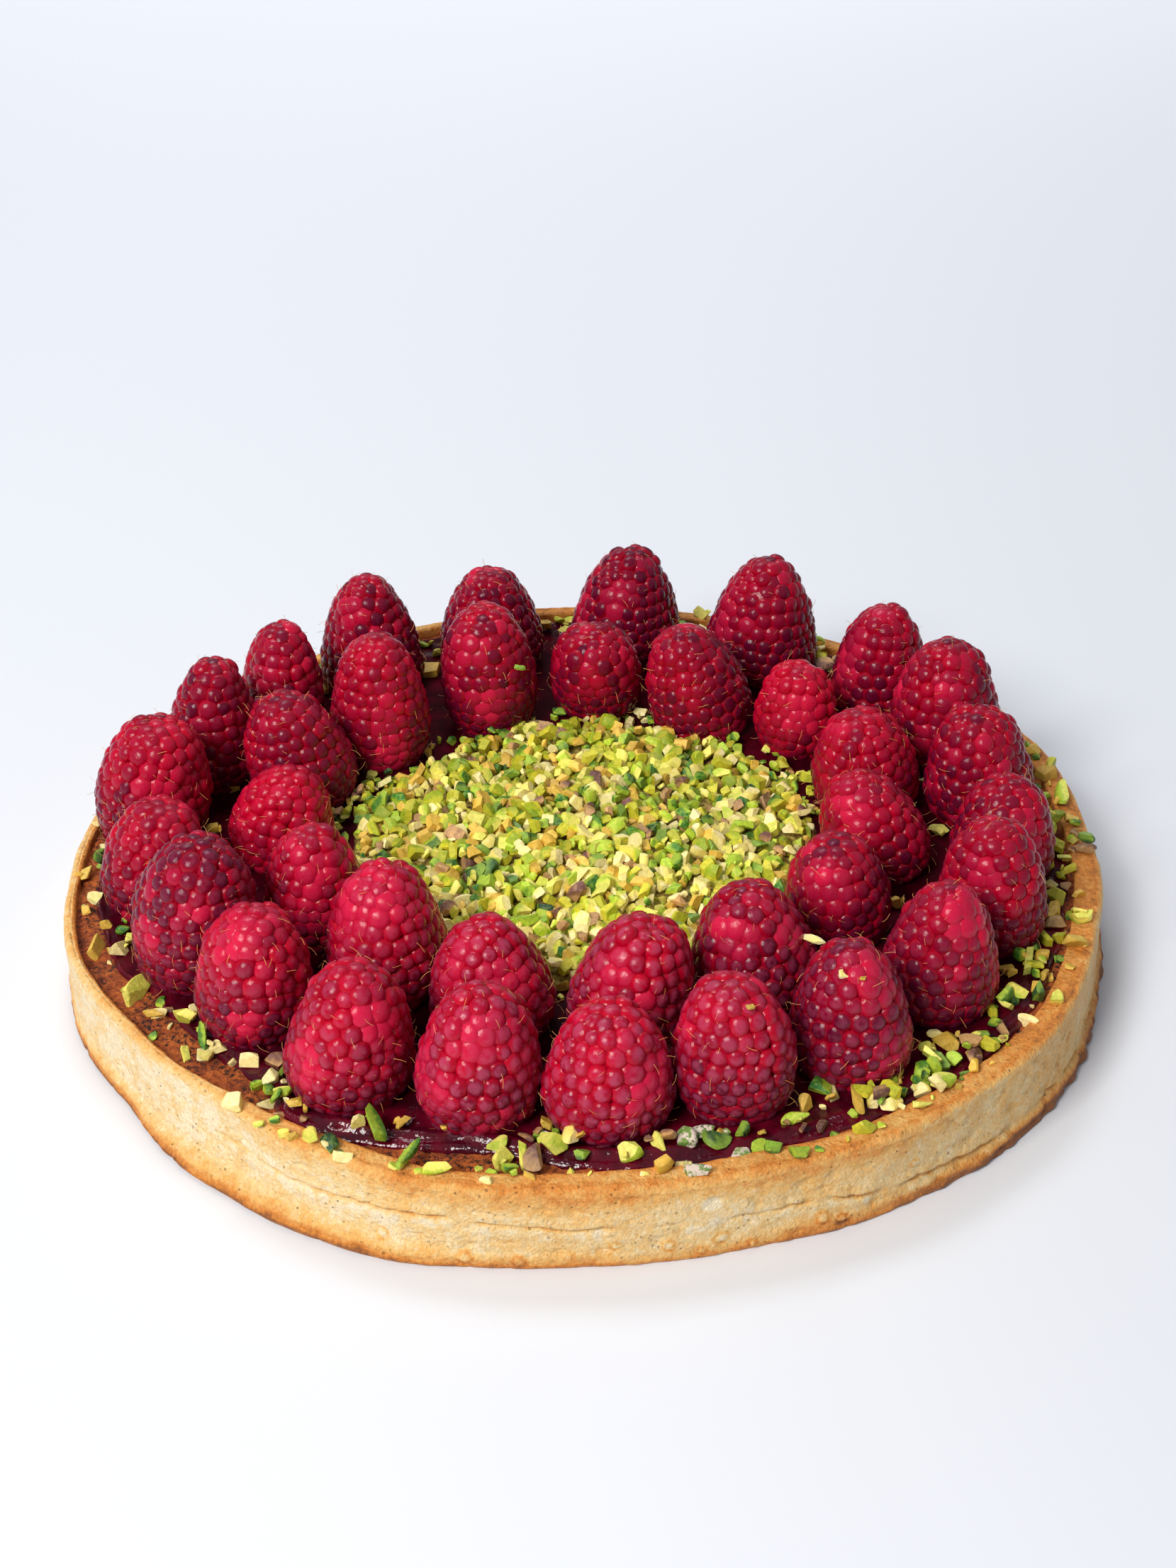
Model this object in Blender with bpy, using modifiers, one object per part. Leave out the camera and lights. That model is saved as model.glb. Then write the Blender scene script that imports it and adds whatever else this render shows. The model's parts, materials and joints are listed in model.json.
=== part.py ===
"""Pistachio raspberry tart: a shortcrust case with browned almond cream, a layer of
raspberry jam, two rings of whole raspberries and a bed of chopped pistachios.

The origin is at the centre of the base and +Z is up. Bearings are in degrees about +Z:
0 is +X, and -90 is -Y, the front of the tart. Lengths are in metres.
"""
import math
import random

import bmesh
import bpy
from mathutils import Euler, Matrix, Vector

MM = 0.001
GAP = 0.3 * MM
WELD = 0.01 * MM
SHARP_ANGLE = math.radians(40)
GOLDEN_TURN = 360 * (1 - 2 / (1 + math.sqrt(5)))

# Driving dimensions of the case
RIM_RADIUS = 110 * MM
CASE_HEIGHT = 17.9 * MM
FLOOR_THICKNESS = 3.3 * MM
CREASE_HEIGHT = 9 * MM
CREASE_DEPTH = 0.5 * MM
CREASE_WIDTH = 1.2 * MM
RIM_ROUNDING = 1 * MM
WALL_DRAFT = 0.3 * MM
FOOT_HEIGHT = 1 * MM
FOOT_ROUNDING = 0.4 * MM
TURNED_STEPS = 56

# Values round the tart as (bearing, mm), joined by smooth steps
RIM_OFFSET = ((-178, 0.0), (-163, 0.8), (-143, -2.2), (-130, -3.0), (-118, -1.0), (-105, 0.6),
              (-90, -0.6), (-75, -0.4), (-60, 1.2), (-40, 1.9), (-16, -0.5), (2, -0.6),
              (20, 1.3), (60, -0.4), (100, 0.4), (140, 0.0))
RIM_WIDTH = ((-175, 2.4), (-140, 2.4), (-112, 5.0), (-60, 5.6), (0, 5.6), (60, 4.6), (120, 3.6))
FOOT_FLARE = ((-164, 0.9), (-148, 2.2), (-130, 5.2), (-115, 4.0), (-100, 1.0), (-83, 0.4),
              (-60, 0.4), (-20, 1.0), (60, 0.8), (150, 0.8))
JAM_REACH = ((-176, 104.0), (-159, 102.5), (-150, 98.0), (-130, 98.0), (-122, 104.0),
             (-116, 103.0), (-101, 99.0), (-88, 102.0), (-74, 103.0), (-30, 103.0),
             (20, 103.0), (60, 102.5), (130, 103.0))

# Layers inside the case
JAM_TOP = 16.6 * MM
JAM_THICKNESS = 2.2 * MM
JAM_ROUNDING = 0.6 * MM
CREAM_EDGE_HEIGHT = 16.4 * MM
CREAM_STEP_HEIGHT = 15.6 * MM
SEAT = JAM_TOP + GAP

# The pistachio bed
BED_RADIUS = 49.5 * MM
BED_DOME = 3.0 * MM
BED_EDGE = 1.2 * MM
BED_STEPS = 24
# Waves in the bed's edge: count, size in mm, and the bearing of a crest
BED_WAVES = ((5, 0.8, 20), (7, 0.6, 55))
BED_NIBS = 76
BED_NIB_LENGTH = (3.2 * MM, 5.2 * MM)
BED_NIB_REACH = BED_RADIUS - 1.8 * MM
BED_NIB_SINK = 0.2 * MM

# Raspberries: bearing, reach, height and width in mm, lean in degrees and its bearing
OUTER_RING = (
    (-88, 86, 24, 23, 3, 0),
    (-72, 87, 26, 21, 3, 180),
    (-56, 88, 26, 22, 2, 180),
    (-39, 87, 26, 22, 4, 0),
    (-23, 89, 27, 20, 2, 180),
    (-8, 88, 22, 20, 4, 0),
    (8, 88, 25, 22, 5, 180),
    (23, 90, 29, 23, 2, 180),
    (39, 90, 27, 21, 3, 0),
    (61, 90, 29, 25, 5, 0),
    (83, 90, 27, 24, 5, 0),
    (104, 89, 24, 24, 0, 0),
    (124, 90, 29, 23, 0, 0),
    (142, 89, 27, 19, 3, 0),
    (158, 91, 30, 20, 6, 0),
    (173, 96, 28, 23, 10, 0),
    (-171, 93, 24, 20, 14, 0),
    (-154, 89, 30, 23, 11, 0),
    (-139, 87, 26, 21, 8, 0),
    (-121, 88, 26, 23, 7, 0),
    (-104, 86, 26, 22, 4, 0),
)
INNER_RING = (
    (-84, 62, 25, 23, 13, 0),
    (-57, 62, 25, 24, 9, 180),
    (-32, 61, 22, 20, 6, 180),
    (-7, 65, 22, 21, 24, 165),
    (15, 66, 23, 22, 12, -150),
    (40, 64, 21, 17, 2, 0),
    (60, 60, 26, 22, 16, 180),
    (86, 64, 24, 20, 20, -100),
    (110, 60, 29, 21, 4, 180),
    (138, 62, 30, 21, 2, 90),
    (157, 66, 26, 22, 14, -170),
    (177, 67, 20, 21, 16, -10),
    (-153, 62, 25, 18, 2, 0),
    (-130, 61, 27, 23, 3, 90),
    (-107, 62, 23, 23, 4, 180),
)
# Half width of a raspberry at fractions of its height, as a share of the widest
BERRY_PROFILE = ((0.0, 0.76), (0.12, 0.92), (0.3, 1.0), (0.5, 0.94), (0.7, 0.79),
                 (0.85, 0.60), (0.95, 0.38), (1.0, 0.0))
BERRY_SEGMENTS = 12
BERRY_BANDS = 8
BUMP = 0.45 * MM

# Loose pistachio nibs: bearing, reach, length and width in mm, turn of the long side
RIM_NIBS = (
    (-128, 107, 3.5, 3, 0), (-118, 107, 4, 3, -45), (-116, 107, 3.5, 2.5, -60),
    (-114, 109, 3.5, 2, 0), (-108, 106, 6, 2.2, 65), (-105, 107, 5.5, 2.5, 0),
    (-100, 106, 3, 2, -50), (-98, 106, 3, 2, 0), (-83, 106, 3.5, 3, 35),
    (-80, 107, 4.5, 2.2, 0), (-75, 106, 4, 3, 0), (-70, 108, 3.5, 2.5, 0),
    (-56, 108, 3.5, 2.5, 0), (-51, 107, 4.5, 3, 15), (-37, 107, 4.5, 2.5, -50),
    (-33, 108, 2.5, 2.5, 0), (-23, 107, 4.5, 4, 0), (-18, 107, 4.5, 3, 0),
    (-2, 106, 3, 2.5, 10), (7, 106, 5, 3.5, 80), (12, 107, 4.5, 3, 0),
)
CREAM_NIBS = (
    (-152, 102.5, 6, 4.5, 65), (-147, 101.5, 4, 2, -15), (-144, 100.5, 5, 4, -25),
    (-139, 101, 4.5, 2.2, -80), (-137, 101.5, 3, 2.5, 0),
)
JAM_NIBS = (
    (-160, 99.5, 4, 3, 60), (-132, 94.5, 3.5, 3, 0), (-130, 93, 4, 3, 0),
    (-127, 95.5, 3, 2.2, -70), (-124, 98, 3.5, 2, 35), (-121, 101, 3.5, 2, 0),
    (-115, 99, 2.5, 2.5, 0), (-113, 98.5, 6, 3, -65), (-111, 97, 3, 2.5, 45),
    (-100, 96, 3.2, 3, 0), (-95, 98, 4, 3, -80), (-93, 98, 5, 4, 0), (-91, 99, 4, 3, 70),
    (-95, 92, 2.5, 2.5, 0), (-86, 99, 4, 3.5, 0), (-83, 99, 3.5, 2.5, -60),
    (-80, 99, 4.5, 3.5, -70), (-78, 97, 4.5, 2.5, 0), (-77, 100.5, 5, 3, 0),
    (-73, 101, 3.5, 3, 45), (-68, 99, 5, 2.5, 0), (-66, 100.5, 4, 2, 65),
    (-66, 96.5, 3, 3, 55), (-63, 96.5, 4.5, 3.5, -35), (-61, 98, 4.5, 3, 80),
    (-58, 100.5, 4, 3, 70), (-56, 100.5, 3, 2.5, 70), (-52, 100.5, 3.5, 3, -15),
    (-50, 100, 4, 3, -60), (-46, 99, 5, 4, -50), (-42, 100.5, 3.5, 2.5, 20),
    (-35, 99.5, 2.5, 2.5, 0), (-32, 100.5, 4, 3, 70), (-28, 99, 5, 3, 80),
    (-19, 100.5, 4, 2.7, 15), (-14, 100, 3, 2.5, 0), (-2, 99.5, 5, 3.5, -70),
    (2, 78, 4, 2.5, 0), (16, 80, 5, 3, 0), (-62, 77, 3, 2.5, 70), (-78, 74.5, 4, 2, 60),
    (166, 80, 5, 4, 0), (114, 77, 4.5, 4, 0), (133, 78, 5, 4, 60),
)
REAR_BEARINGS = (31, 50, 72, 94, 114, 133, 150)
REAR_REACH = (98, 100)
NIB_SINK = 0.6 * MM
NIB_MAX_THICKNESS = 2.4 * MM
NIB_JITTER = 0.16


def material(name, colour, roughness):
    """A plain Principled material."""
    made = bpy.data.materials.new(name)
    made.use_nodes = True
    shader = made.node_tree.nodes["Principled BSDF"]
    shader.inputs["Base Color"].default_value = (*colour, 1.0)
    shader.inputs["Roughness"].default_value = roughness
    shader.inputs["Metallic"].default_value = 0.0
    return made


def around(values, bearing):
    """Read a (bearing, value) list at any bearing, in degrees, with smooth steps between."""
    knots = sorted((angle % 360, value) for angle, value in values)
    angle = bearing % 360
    last, first = knots[-1], knots[0]
    knots = [(last[0] - 360, last[1])] + knots + [(first[0] + 360, first[1])]
    for (low, start), (high, end) in zip(knots, knots[1:]):
        if low <= angle <= high:
            share = (angle - low) / (high - low)
            return start + (end - start) * share * share * (3 - 2 * share)
    return last[1]


def outline(bearing):
    """Radius of the case at its rim, a little out of round."""
    return RIM_RADIUS + around(RIM_OFFSET, bearing) * MM


def wall_inside(bearing):
    """Radius of the case wall's inner face at its top."""
    return outline(bearing) - around(RIM_WIDTH, bearing) * MM


def jam_edge(bearing):
    """Radius of the jam's outer edge, always clear of the case wall."""
    return min(around(JAM_REACH, bearing) * MM, wall_inside(bearing) - 1.2 * MM)


def on_tart(bearing, reach, height):
    """A point from its bearing in degrees, its reach and its height."""
    angle = math.radians(bearing)
    return Vector((reach * math.cos(angle), reach * math.sin(angle), height))


def new_object(name, mesh, look):
    """Link a mesh to the tart's collection under a node name."""
    made = bpy.data.objects.new(name, mesh)
    made.data.materials.clear()
    made.data.materials.append(look)
    PARTS.objects.link(made)
    return made


def turned(name, rings, radius_at, look, steps=TURNED_STEPS):
    """Turn rings of (key, height), listed from the top's centre down to the base's centre.

    Screw turns the profile at bearing 0, and every point then takes radius_at(key, bearing),
    which makes the shape as uneven as a hand-made one.
    """
    mesh = bpy.data.meshes.new(name)
    profile = [(radius_at(key, 0), 0.0, height) for key, height in rings]
    mesh.from_pydata(profile, [(i, i + 1) for i in range(len(rings) - 1)], [])
    guide = bpy.data.objects.new(name + "_profile", mesh)
    CUTTERS.objects.link(guide)
    screw = guide.modifiers.new("Screw", "SCREW")
    screw.axis = "Z"
    screw.steps = steps
    screw.render_steps = steps
    body_mesh = bpy.data.meshes.new_from_object(guide.evaluated_get(refreshed()))
    bpy.data.objects.remove(guide)
    for vertex in body_mesh.vertices:
        step, ring = divmod(vertex.index, len(rings))
        key, height = rings[ring]
        bearing = 360 * step / steps
        vertex.co = on_tart(bearing, radius_at(key, bearing), height)
    work = bmesh.new()
    work.from_mesh(body_mesh)
    bmesh.ops.remove_doubles(work, verts=work.verts, dist=WELD)
    work.to_mesh(body_mesh)
    work.free()
    made = new_object(name, body_mesh, look)
    made.data.shade_smooth()
    made.data.set_sharp_from_angle(angle=SHARP_ANGLE)
    return made


def refreshed():
    """The evaluated scene, up to date."""
    bpy.context.view_layer.update()
    return bpy.context.evaluated_depsgraph_get()


def nib_mesh(rng, length, width):
    """One chopped pistachio nib: a low faceted lump with its long side along X."""
    work = bmesh.new()
    bmesh.ops.create_icosphere(work, subdivisions=1, radius=0.5)
    thickness = min(width * 0.85, NIB_MAX_THICKNESS)
    for vertex in work.verts:
        jitter = [1 + rng.uniform(-NIB_JITTER, NIB_JITTER) for _ in range(3)]
        vertex.co.x *= length * jitter[0]
        vertex.co.y *= width * jitter[1]
        vertex.co.z *= thickness * jitter[2]
    mesh = bpy.data.meshes.new("nib")
    work.to_mesh(mesh)
    work.free()
    return mesh, thickness


def add_nib(pieces, rng, spot, length, width, turn):
    """Lay one nib on a spot, sunk a little into the surface there."""
    mesh, thickness = nib_mesh(rng, length, width)
    nib = bpy.data.objects.new("nib", mesh)
    nib.location = spot + Vector((0, 0, thickness / 2 - NIB_SINK))
    nib.rotation_euler = Euler((0, 0, math.radians(turn)))
    pieces.objects.link(nib)


def fuse(body, pieces):
    """Join a collection's pieces to a body with one Boolean union, and keep one closed body."""
    union = body.modifiers.new("Fuse", "BOOLEAN")
    union.operation = "UNION"
    union.operand_type = "COLLECTION"
    union.collection = pieces
    union.solver = "MANIFOLD"
    looks = list(body.data.materials)
    fused = bpy.data.meshes.new_from_object(body.evaluated_get(refreshed()))
    body.modifiers.remove(union)
    for piece in list(pieces.objects):
        bpy.data.objects.remove(piece)
    bpy.data.collections.remove(pieces)
    keep_largest_shell(fused)
    fused.materials.clear()
    for look in looks:
        fused.materials.append(look)
    body.data = fused
    body.data.polygons.foreach_set("material_index", [0] * len(body.data.polygons))


def keep_largest_shell(mesh):
    """Weld hairline edges, and drop scraps and sealed hollows."""
    work = bmesh.new()
    work.from_mesh(mesh)
    bmesh.ops.dissolve_degenerate(work, edges=work.edges, dist=WELD / 2)
    unseen = set(work.faces)
    shells = []
    while unseen:
        stack = [unseen.pop()]
        shell = set(stack)
        while stack:
            for edge in stack.pop().edges:
                for face in edge.link_faces:
                    if face in unseen:
                        unseen.discard(face)
                        shell.add(face)
                        stack.append(face)
        shells.append(shell)
    largest = max(shells, key=len)
    scraps = [face for face in work.faces if face not in largest]
    bmesh.ops.delete(work, geom=scraps, context="FACES")
    work.to_mesh(mesh)
    work.free()


def new_pieces(name):
    """A hidden collection that holds pieces until they are fused."""
    made = bpy.data.collections.new(name)
    CUTTERS.children.link(made)
    return made


def lay_nibs(body, rows, height, seed):
    """Fuse rows of nibs to a body whose surface is at a height."""
    pieces = new_pieces(body.name + "_nibs")
    rng = random.Random(seed)
    for bearing, reach, length, width, turn in rows:
        spot = on_tart(bearing, reach * MM, height)
        add_nib(pieces, rng, spot, length * MM, width * MM, turn)
    fuse(body, pieces)


def make_crust(look):
    """The baked case: a floor and a wall with a flared foot, a crease and a rounded rim."""
    rings = (
        ("axis", FLOOR_THICKNESS),
        ("corner", FLOOR_THICKNESS),
        ("inside", CASE_HEIGHT - RIM_ROUNDING),
        ("inner rim", CASE_HEIGHT - 0.1 * RIM_ROUNDING),
        ("rim", CASE_HEIGHT),
        ("outer rim", CASE_HEIGHT - 0.5 * RIM_ROUNDING),
        ("shoulder", CASE_HEIGHT - 1.7 * RIM_ROUNDING),
        ("above crease", CREASE_HEIGHT + CREASE_WIDTH),
        ("crease", CREASE_HEIGHT),
        ("below crease", CREASE_HEIGHT / 2),
        ("foot", FOOT_HEIGHT),
        ("base", 0),
        ("axis", 0),
    )

    def radius_at(key, bearing):
        edge = outline(bearing)
        inside = wall_inside(bearing)
        flare = around(FOOT_FLARE, bearing) * MM
        return {
            "axis": 0,
            "corner": inside - WALL_DRAFT,
            "inside": inside,
            "inner rim": inside + 0.2 * (edge - inside),
            "rim": edge - 0.35 * (edge - inside),
            "outer rim": edge - 0.5 * RIM_ROUNDING,
            "shoulder": edge,
            "above crease": edge + 0.05 * flare,
            "crease": edge + 0.1 * flare - CREASE_DEPTH,
            "below crease": edge + 0.4 * flare,
            "foot": edge + flare,
            "base": edge + flare - FOOT_ROUNDING,
        }[key]

    crust = turned("crust", rings, radius_at, look)
    lay_nibs(crust, RIM_NIBS, CASE_HEIGHT - 0.2 * RIM_ROUNDING, seed=11)


def make_almond_cream(look):
    """Browned almond cream that fills the case and shows between the jam and the rim."""
    shelf_height = JAM_TOP - JAM_THICKNESS - GAP
    rings = (
        ("axis", shelf_height),
        ("shelf", shelf_height),
        ("step", CREAM_STEP_HEIGHT),
        ("edge", CREAM_EDGE_HEIGHT),
        ("bottom", FLOOR_THICKNESS + GAP),
        ("axis", FLOOR_THICKNESS + GAP),
    )

    def radius_at(key, bearing):
        inside = wall_inside(bearing) - GAP
        return {
            "axis": 0,
            "shelf": jam_edge(bearing) + GAP,
            "step": jam_edge(bearing) + 2 * GAP,
            "edge": inside,
            "bottom": inside - WALL_DRAFT,
        }[key]

    cream = turned("almond_cream", rings, radius_at, look)
    lay_nibs(cream, CREAM_NIBS, (CREAM_STEP_HEIGHT + CREAM_EDGE_HEIGHT) / 2, seed=12)


def make_jam(look):
    """Raspberry jam: a round-edged layer that the fruit and the pistachios sit on."""
    bottom = JAM_TOP - JAM_THICKNESS
    rings = (
        ("axis", JAM_TOP),
        ("top", JAM_TOP),
        ("side", JAM_TOP - JAM_ROUNDING),
        ("side", bottom + JAM_ROUNDING),
        ("under", bottom),
        ("axis", bottom),
    )
    drawn_in = {"top": JAM_ROUNDING, "side": 0, "under": JAM_ROUNDING}

    def radius_at(key, bearing):
        return 0 if key == "axis" else jam_edge(bearing) - drawn_in[key]

    jam = turned("raspberry_jam", rings, radius_at, look)
    rng = random.Random(13)
    rear = [(bearing, rng.uniform(*REAR_REACH), rng.uniform(3, 4), rng.uniform(2.2, 3),
             rng.uniform(0, 180)) for bearing in REAR_BEARINGS]
    lay_nibs(jam, list(JAM_NIBS) + rear, JAM_TOP, seed=14)


def dome_height(share):
    """Height of the pistachio bed's core at a share of its radius."""
    return SEAT + BED_EDGE + (BED_DOME - BED_EDGE) * (1 - share * share)


def make_pistachio_bed(look):
    """A low mound of chopped pistachios: a domed core with the larger nibs standing out."""
    rings = (
        ("axis", dome_height(0)),
        (0.45, dome_height(0.45)),
        (0.8, dome_height(0.8)),
        (1.0, SEAT + 0.5 * BED_EDGE),
        (0.985, SEAT),
        ("axis", SEAT),
    )

    def radius_at(key, bearing):
        if key == "axis":
            return 0
        ripple = sum(size * MM * math.cos(math.radians(count * (bearing - crest)))
                     for count, size, crest in BED_WAVES)
        return (BED_RADIUS + ripple) * key

    bed = turned("pistachio_bed", rings, radius_at, look, steps=BED_STEPS)
    pieces = new_pieces("bed_nibs")
    rng = random.Random(15)
    for i in range(BED_NIBS):
        share = math.sqrt((i + 0.5) / BED_NIBS)
        height = dome_height(share) - BED_NIB_SINK
        spot = on_tart(i * GOLDEN_TURN, share * BED_NIB_REACH, height)
        length = rng.uniform(*BED_NIB_LENGTH)
        add_nib(pieces, rng, spot, length, length * rng.uniform(0.6, 0.8), rng.uniform(0, 180))
    fuse(bed, pieces)


def berry_width(share):
    """Half width of a raspberry at a share of its height."""
    for (low, start), (high, end) in zip(BERRY_PROFILE, BERRY_PROFILE[1:]):
        if share <= high:
            return start + (end - start) * (share - low) / (high - low)
    return 0.0


def make_berry(name, row, look):
    """One raspberry standing on its open end, with coarse drupelet bumps."""
    bearing, reach, height, width, lean, lean_bearing = row
    work = bmesh.new()
    bmesh.ops.create_uvsphere(work, u_segments=BERRY_SEGMENTS, v_segments=BERRY_BANDS, radius=1)
    for vertex in work.verts:
        share = (vertex.co.z + 1) / 2
        flat = math.hypot(vertex.co.x, vertex.co.y)
        if flat < 0.01:
            vertex.co = Vector((0, 0, share * height * MM))
            continue
        around_index = round(math.atan2(vertex.co.y, vertex.co.x) / math.tau * BERRY_SEGMENTS)
        band_index = round(math.acos(vertex.co.z) / math.pi * BERRY_BANDS)
        bump = BUMP if (around_index + band_index) % 2 else -BUMP
        radius = berry_width(share) * width * MM / 2 + bump
        vertex.co = Vector((vertex.co.x / flat * radius, vertex.co.y / flat * radius,
                            share * height * MM))
    tip = on_tart(lean_bearing, math.sin(math.radians(lean)), math.cos(math.radians(lean)))
    tilt = tip.to_track_quat("Z", "Y").to_matrix().to_4x4()
    place = Matrix.Translation(on_tart(bearing, reach * MM, SEAT)) @ tilt
    bmesh.ops.transform(work, matrix=place, verts=work.verts)
    for vertex in work.verts:
        vertex.co.z = max(vertex.co.z, SEAT)
    bmesh.ops.triangulate(work, faces=work.faces)
    mesh = bpy.data.meshes.new(name)
    work.to_mesh(mesh)
    work.free()
    return new_object(name, mesh, look)


def make_berries():
    """Both rings of raspberries, each fruit its own object and material."""
    for ring, rows in (("outer", OUTER_RING), ("inner", INNER_RING)):
        for i, row in enumerate(rows, start=1):
            name = f"{ring}_berry_{i:02d}"
            make_berry(name, row, material(name, (0.42, 0.02, 0.06), 0.4))


for old in list(bpy.data.objects):
    bpy.data.objects.remove(old)
PARTS = bpy.data.collections.new("pistachio_raspberry_tart")
CUTTERS = bpy.data.collections.new("cutters")
bpy.context.scene.collection.children.link(PARTS)
bpy.context.scene.collection.children.link(CUTTERS)

make_crust(material("crust", (0.72, 0.48, 0.24), 0.7))
make_almond_cream(material("almond_cream", (0.34, 0.13, 0.05), 0.8))
make_jam(material("raspberry_jam", (0.12, 0.01, 0.03), 0.2))
make_pistachio_bed(material("pistachio_bed", (0.50, 0.52, 0.16), 0.6))
make_berries()
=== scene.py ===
"""Looks of a pistachio raspberry tart, dressed over its solids.

Lengths in the tables are in millimetres, and bearings in degrees about +Z: 0 is +X, and -90 is
-Y, the front of the tart. Everything else is in metres.
"""
import json
import math
import random
from collections import namedtuple

import bmesh
import bpy
import numpy
from mathutils import Matrix, Vector, noise

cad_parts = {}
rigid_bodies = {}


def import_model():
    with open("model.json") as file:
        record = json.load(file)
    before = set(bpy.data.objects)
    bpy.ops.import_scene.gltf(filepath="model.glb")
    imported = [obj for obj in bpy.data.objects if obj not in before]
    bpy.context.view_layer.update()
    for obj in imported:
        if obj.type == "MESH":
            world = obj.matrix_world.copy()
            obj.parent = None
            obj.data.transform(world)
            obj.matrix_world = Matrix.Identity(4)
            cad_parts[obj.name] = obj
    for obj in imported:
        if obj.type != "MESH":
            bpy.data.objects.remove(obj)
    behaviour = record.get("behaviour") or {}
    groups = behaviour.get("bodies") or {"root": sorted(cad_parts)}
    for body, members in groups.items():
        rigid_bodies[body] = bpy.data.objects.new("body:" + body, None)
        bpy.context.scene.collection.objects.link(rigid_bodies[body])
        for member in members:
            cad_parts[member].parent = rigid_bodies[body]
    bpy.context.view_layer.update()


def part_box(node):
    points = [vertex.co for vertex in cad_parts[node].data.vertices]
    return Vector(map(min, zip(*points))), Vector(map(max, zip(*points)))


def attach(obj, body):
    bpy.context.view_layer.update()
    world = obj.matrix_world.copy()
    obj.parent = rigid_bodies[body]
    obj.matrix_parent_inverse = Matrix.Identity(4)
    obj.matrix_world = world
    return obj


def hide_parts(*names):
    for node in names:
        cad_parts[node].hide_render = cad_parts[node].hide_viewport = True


bl_info = {
    "name": "Pistachio raspberry tart",
    "version": (1, 0, 0),
    "blender": (4, 5, 0),
    "location": "View3D > Sidebar > Tart",
    "description": "Crust, almond cream, jam, raspberries and chopped pistachios of a round tart",
    "category": "Add Mesh",
}

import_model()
MM = 0.001
BODY = "root"

# Heights taken from the solids
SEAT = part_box("outer_berry_01")[0].z
JAM_TOP = SEAT - 0.3 * MM
CASE_HEIGHT = 17.9 * MM
FLOOR = 3.3 * MM

# The case, as (bearing, mm) values joined by smooth steps
RIM_RADIUS = 110 * MM
RIM_OFFSET = ((-178, 0.0), (-163, 0.8), (-143, -2.2), (-130, -3.0), (-118, -1.0), (-105, 0.6),
              (-90, -0.6), (-75, -0.4), (-60, 1.2), (-40, 1.9), (-16, -0.5), (2, -0.6),
              (20, 1.3), (60, -0.4), (100, 0.4), (140, 0.0))
RIM_WIDTH = ((-175, 2.4), (-140, 2.4), (-112, 5.0), (-60, 5.6), (0, 5.6), (60, 4.6), (120, 3.6))
FOOT_FLARE = ((-164, 0.9), (-148, 2.2), (-130, 5.2), (-115, 4.0), (-100, 1.0), (-83, 0.4),
              (-62, 0.6), (-46, 1.7), (-20, 1.9), (10, 1.3), (60, 0.8), (150, 0.8))
JAM_REACH = ((-176, 104.0), (-159, 102.5), (-150, 98.0), (-130, 98.0), (-122, 104.0),
             (-116, 103.0), (-101, 99.0), (-88, 102.5), (-74, 104.0), (-58, 105.0), (-30, 105.6),
             (20, 104.4), (60, 104.0), (130, 104.0))
# How far the jam heaps up inside its edge, in mm
JAM_CREST = ((-155, 0.3), (-128, 1.0), (-104, 1.4), (-88, 1.2), (-70, 0.9), (-45, 0.5), (0, 0.3),
             (150, 0.3))
# How ragged the foot's edge is
FOOT_RAGGED = ((-170, 0.1), (-110, 0.15), (-64, 0.3), (-50, 0.9), (-15, 0.8), (10, 0.4), (100, 0.3))
CREASE_LEVEL = ((-130, 9.5), (-119, 9.0), (-105, 10.3), (-92, 9.0), (-84, 8.5), (-70, 7.9),
                (-59, 5.4), (-48, 4.0), (-20, 3.6), (30, 8.0), (90, 8.5), (150, 10.0))
CREASE_DEPTH = ((-170, 0.05), (-134, 0.1), (-122, 0.6), (-104, 1.0), (-92, 0.45), (-82, 0.15),
                (-72, 0.5), (-62, 0.75), (-46, 0.5), (-28, 0.4), (0, 0.15), (50, 0.4),
                (100, 0.15), (140, 0.45))
# How much browner the wall is than at the front: partly browning, and partly painted shade round
# the shaded right
WALL_BROWNING_AND_SHADE = ((-178, -0.06), (-140, -0.08), (-112, -0.05), (-90, 0.0), (-60, 0.07),
                 (-35, 0.10), (-12, 0.16), (20, 0.20), (60, 0.12), (100, 0.04), (150, 0.0))
# How much browner the foot is than the wall: partly browning, and partly painted shade, most round
# the shaded right
FOOT_BROWNING_AND_SHADE = ((-178, 0.25), (-150, 0.4), (-118, 0.34), (-96, 0.14), (-80, 0.08), (-62, 0.25),
                 (-40, 0.68), (0, 0.74), (60, 0.4), (120, 0.25))
# How much of the rim's brown runs down the wall, and how much browner the rim itself is
TOP_BROWNING = ((-178, 0.1), (-140, 0.1), (-112, 0.6), (-90, 1.0), (-64, 0.85), (-48, 0.4),
                (-30, 0.1), (20, 0.1), (60, 0.4), (120, 0.5))
RIM_BROWNING = ((-178, -0.22), (-140, -0.18), (-116, -0.04), (-90, 0.0), (-60, 0.04), (-30, 0.12),
                (20, 0.14), (80, 0.04), (140, -0.1))
# Small blisters low on the wall: bearing, height and radius in mm
BLISTERS = ((-83, 4, 1.2), (-78, 4, 1.3), (-75, 1.5, 0.9), (-68, 4, 1.3), (-66, 2.5, 1.1),
            (-88, 5, 0.9), (-102, 2.5, 1.2), (-97, 2, 1.1), (-80, 2, 0.8), (-110, 4.5, 1.0),
            (-58, 9, 0.9), (-33, 10.5, 0.8))
# A slit across the rim, and a pale scar on the wall: bearing, and height in mm
RIM_SLIT = -78
PALE_SCAR = (-79, 12.5)
SLIT_HALF_WIDTH = 0.55
SLIT_DEPTH = 1.2
PIT_DEPTH = 0.4
CASE_STEPS = 960
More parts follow.
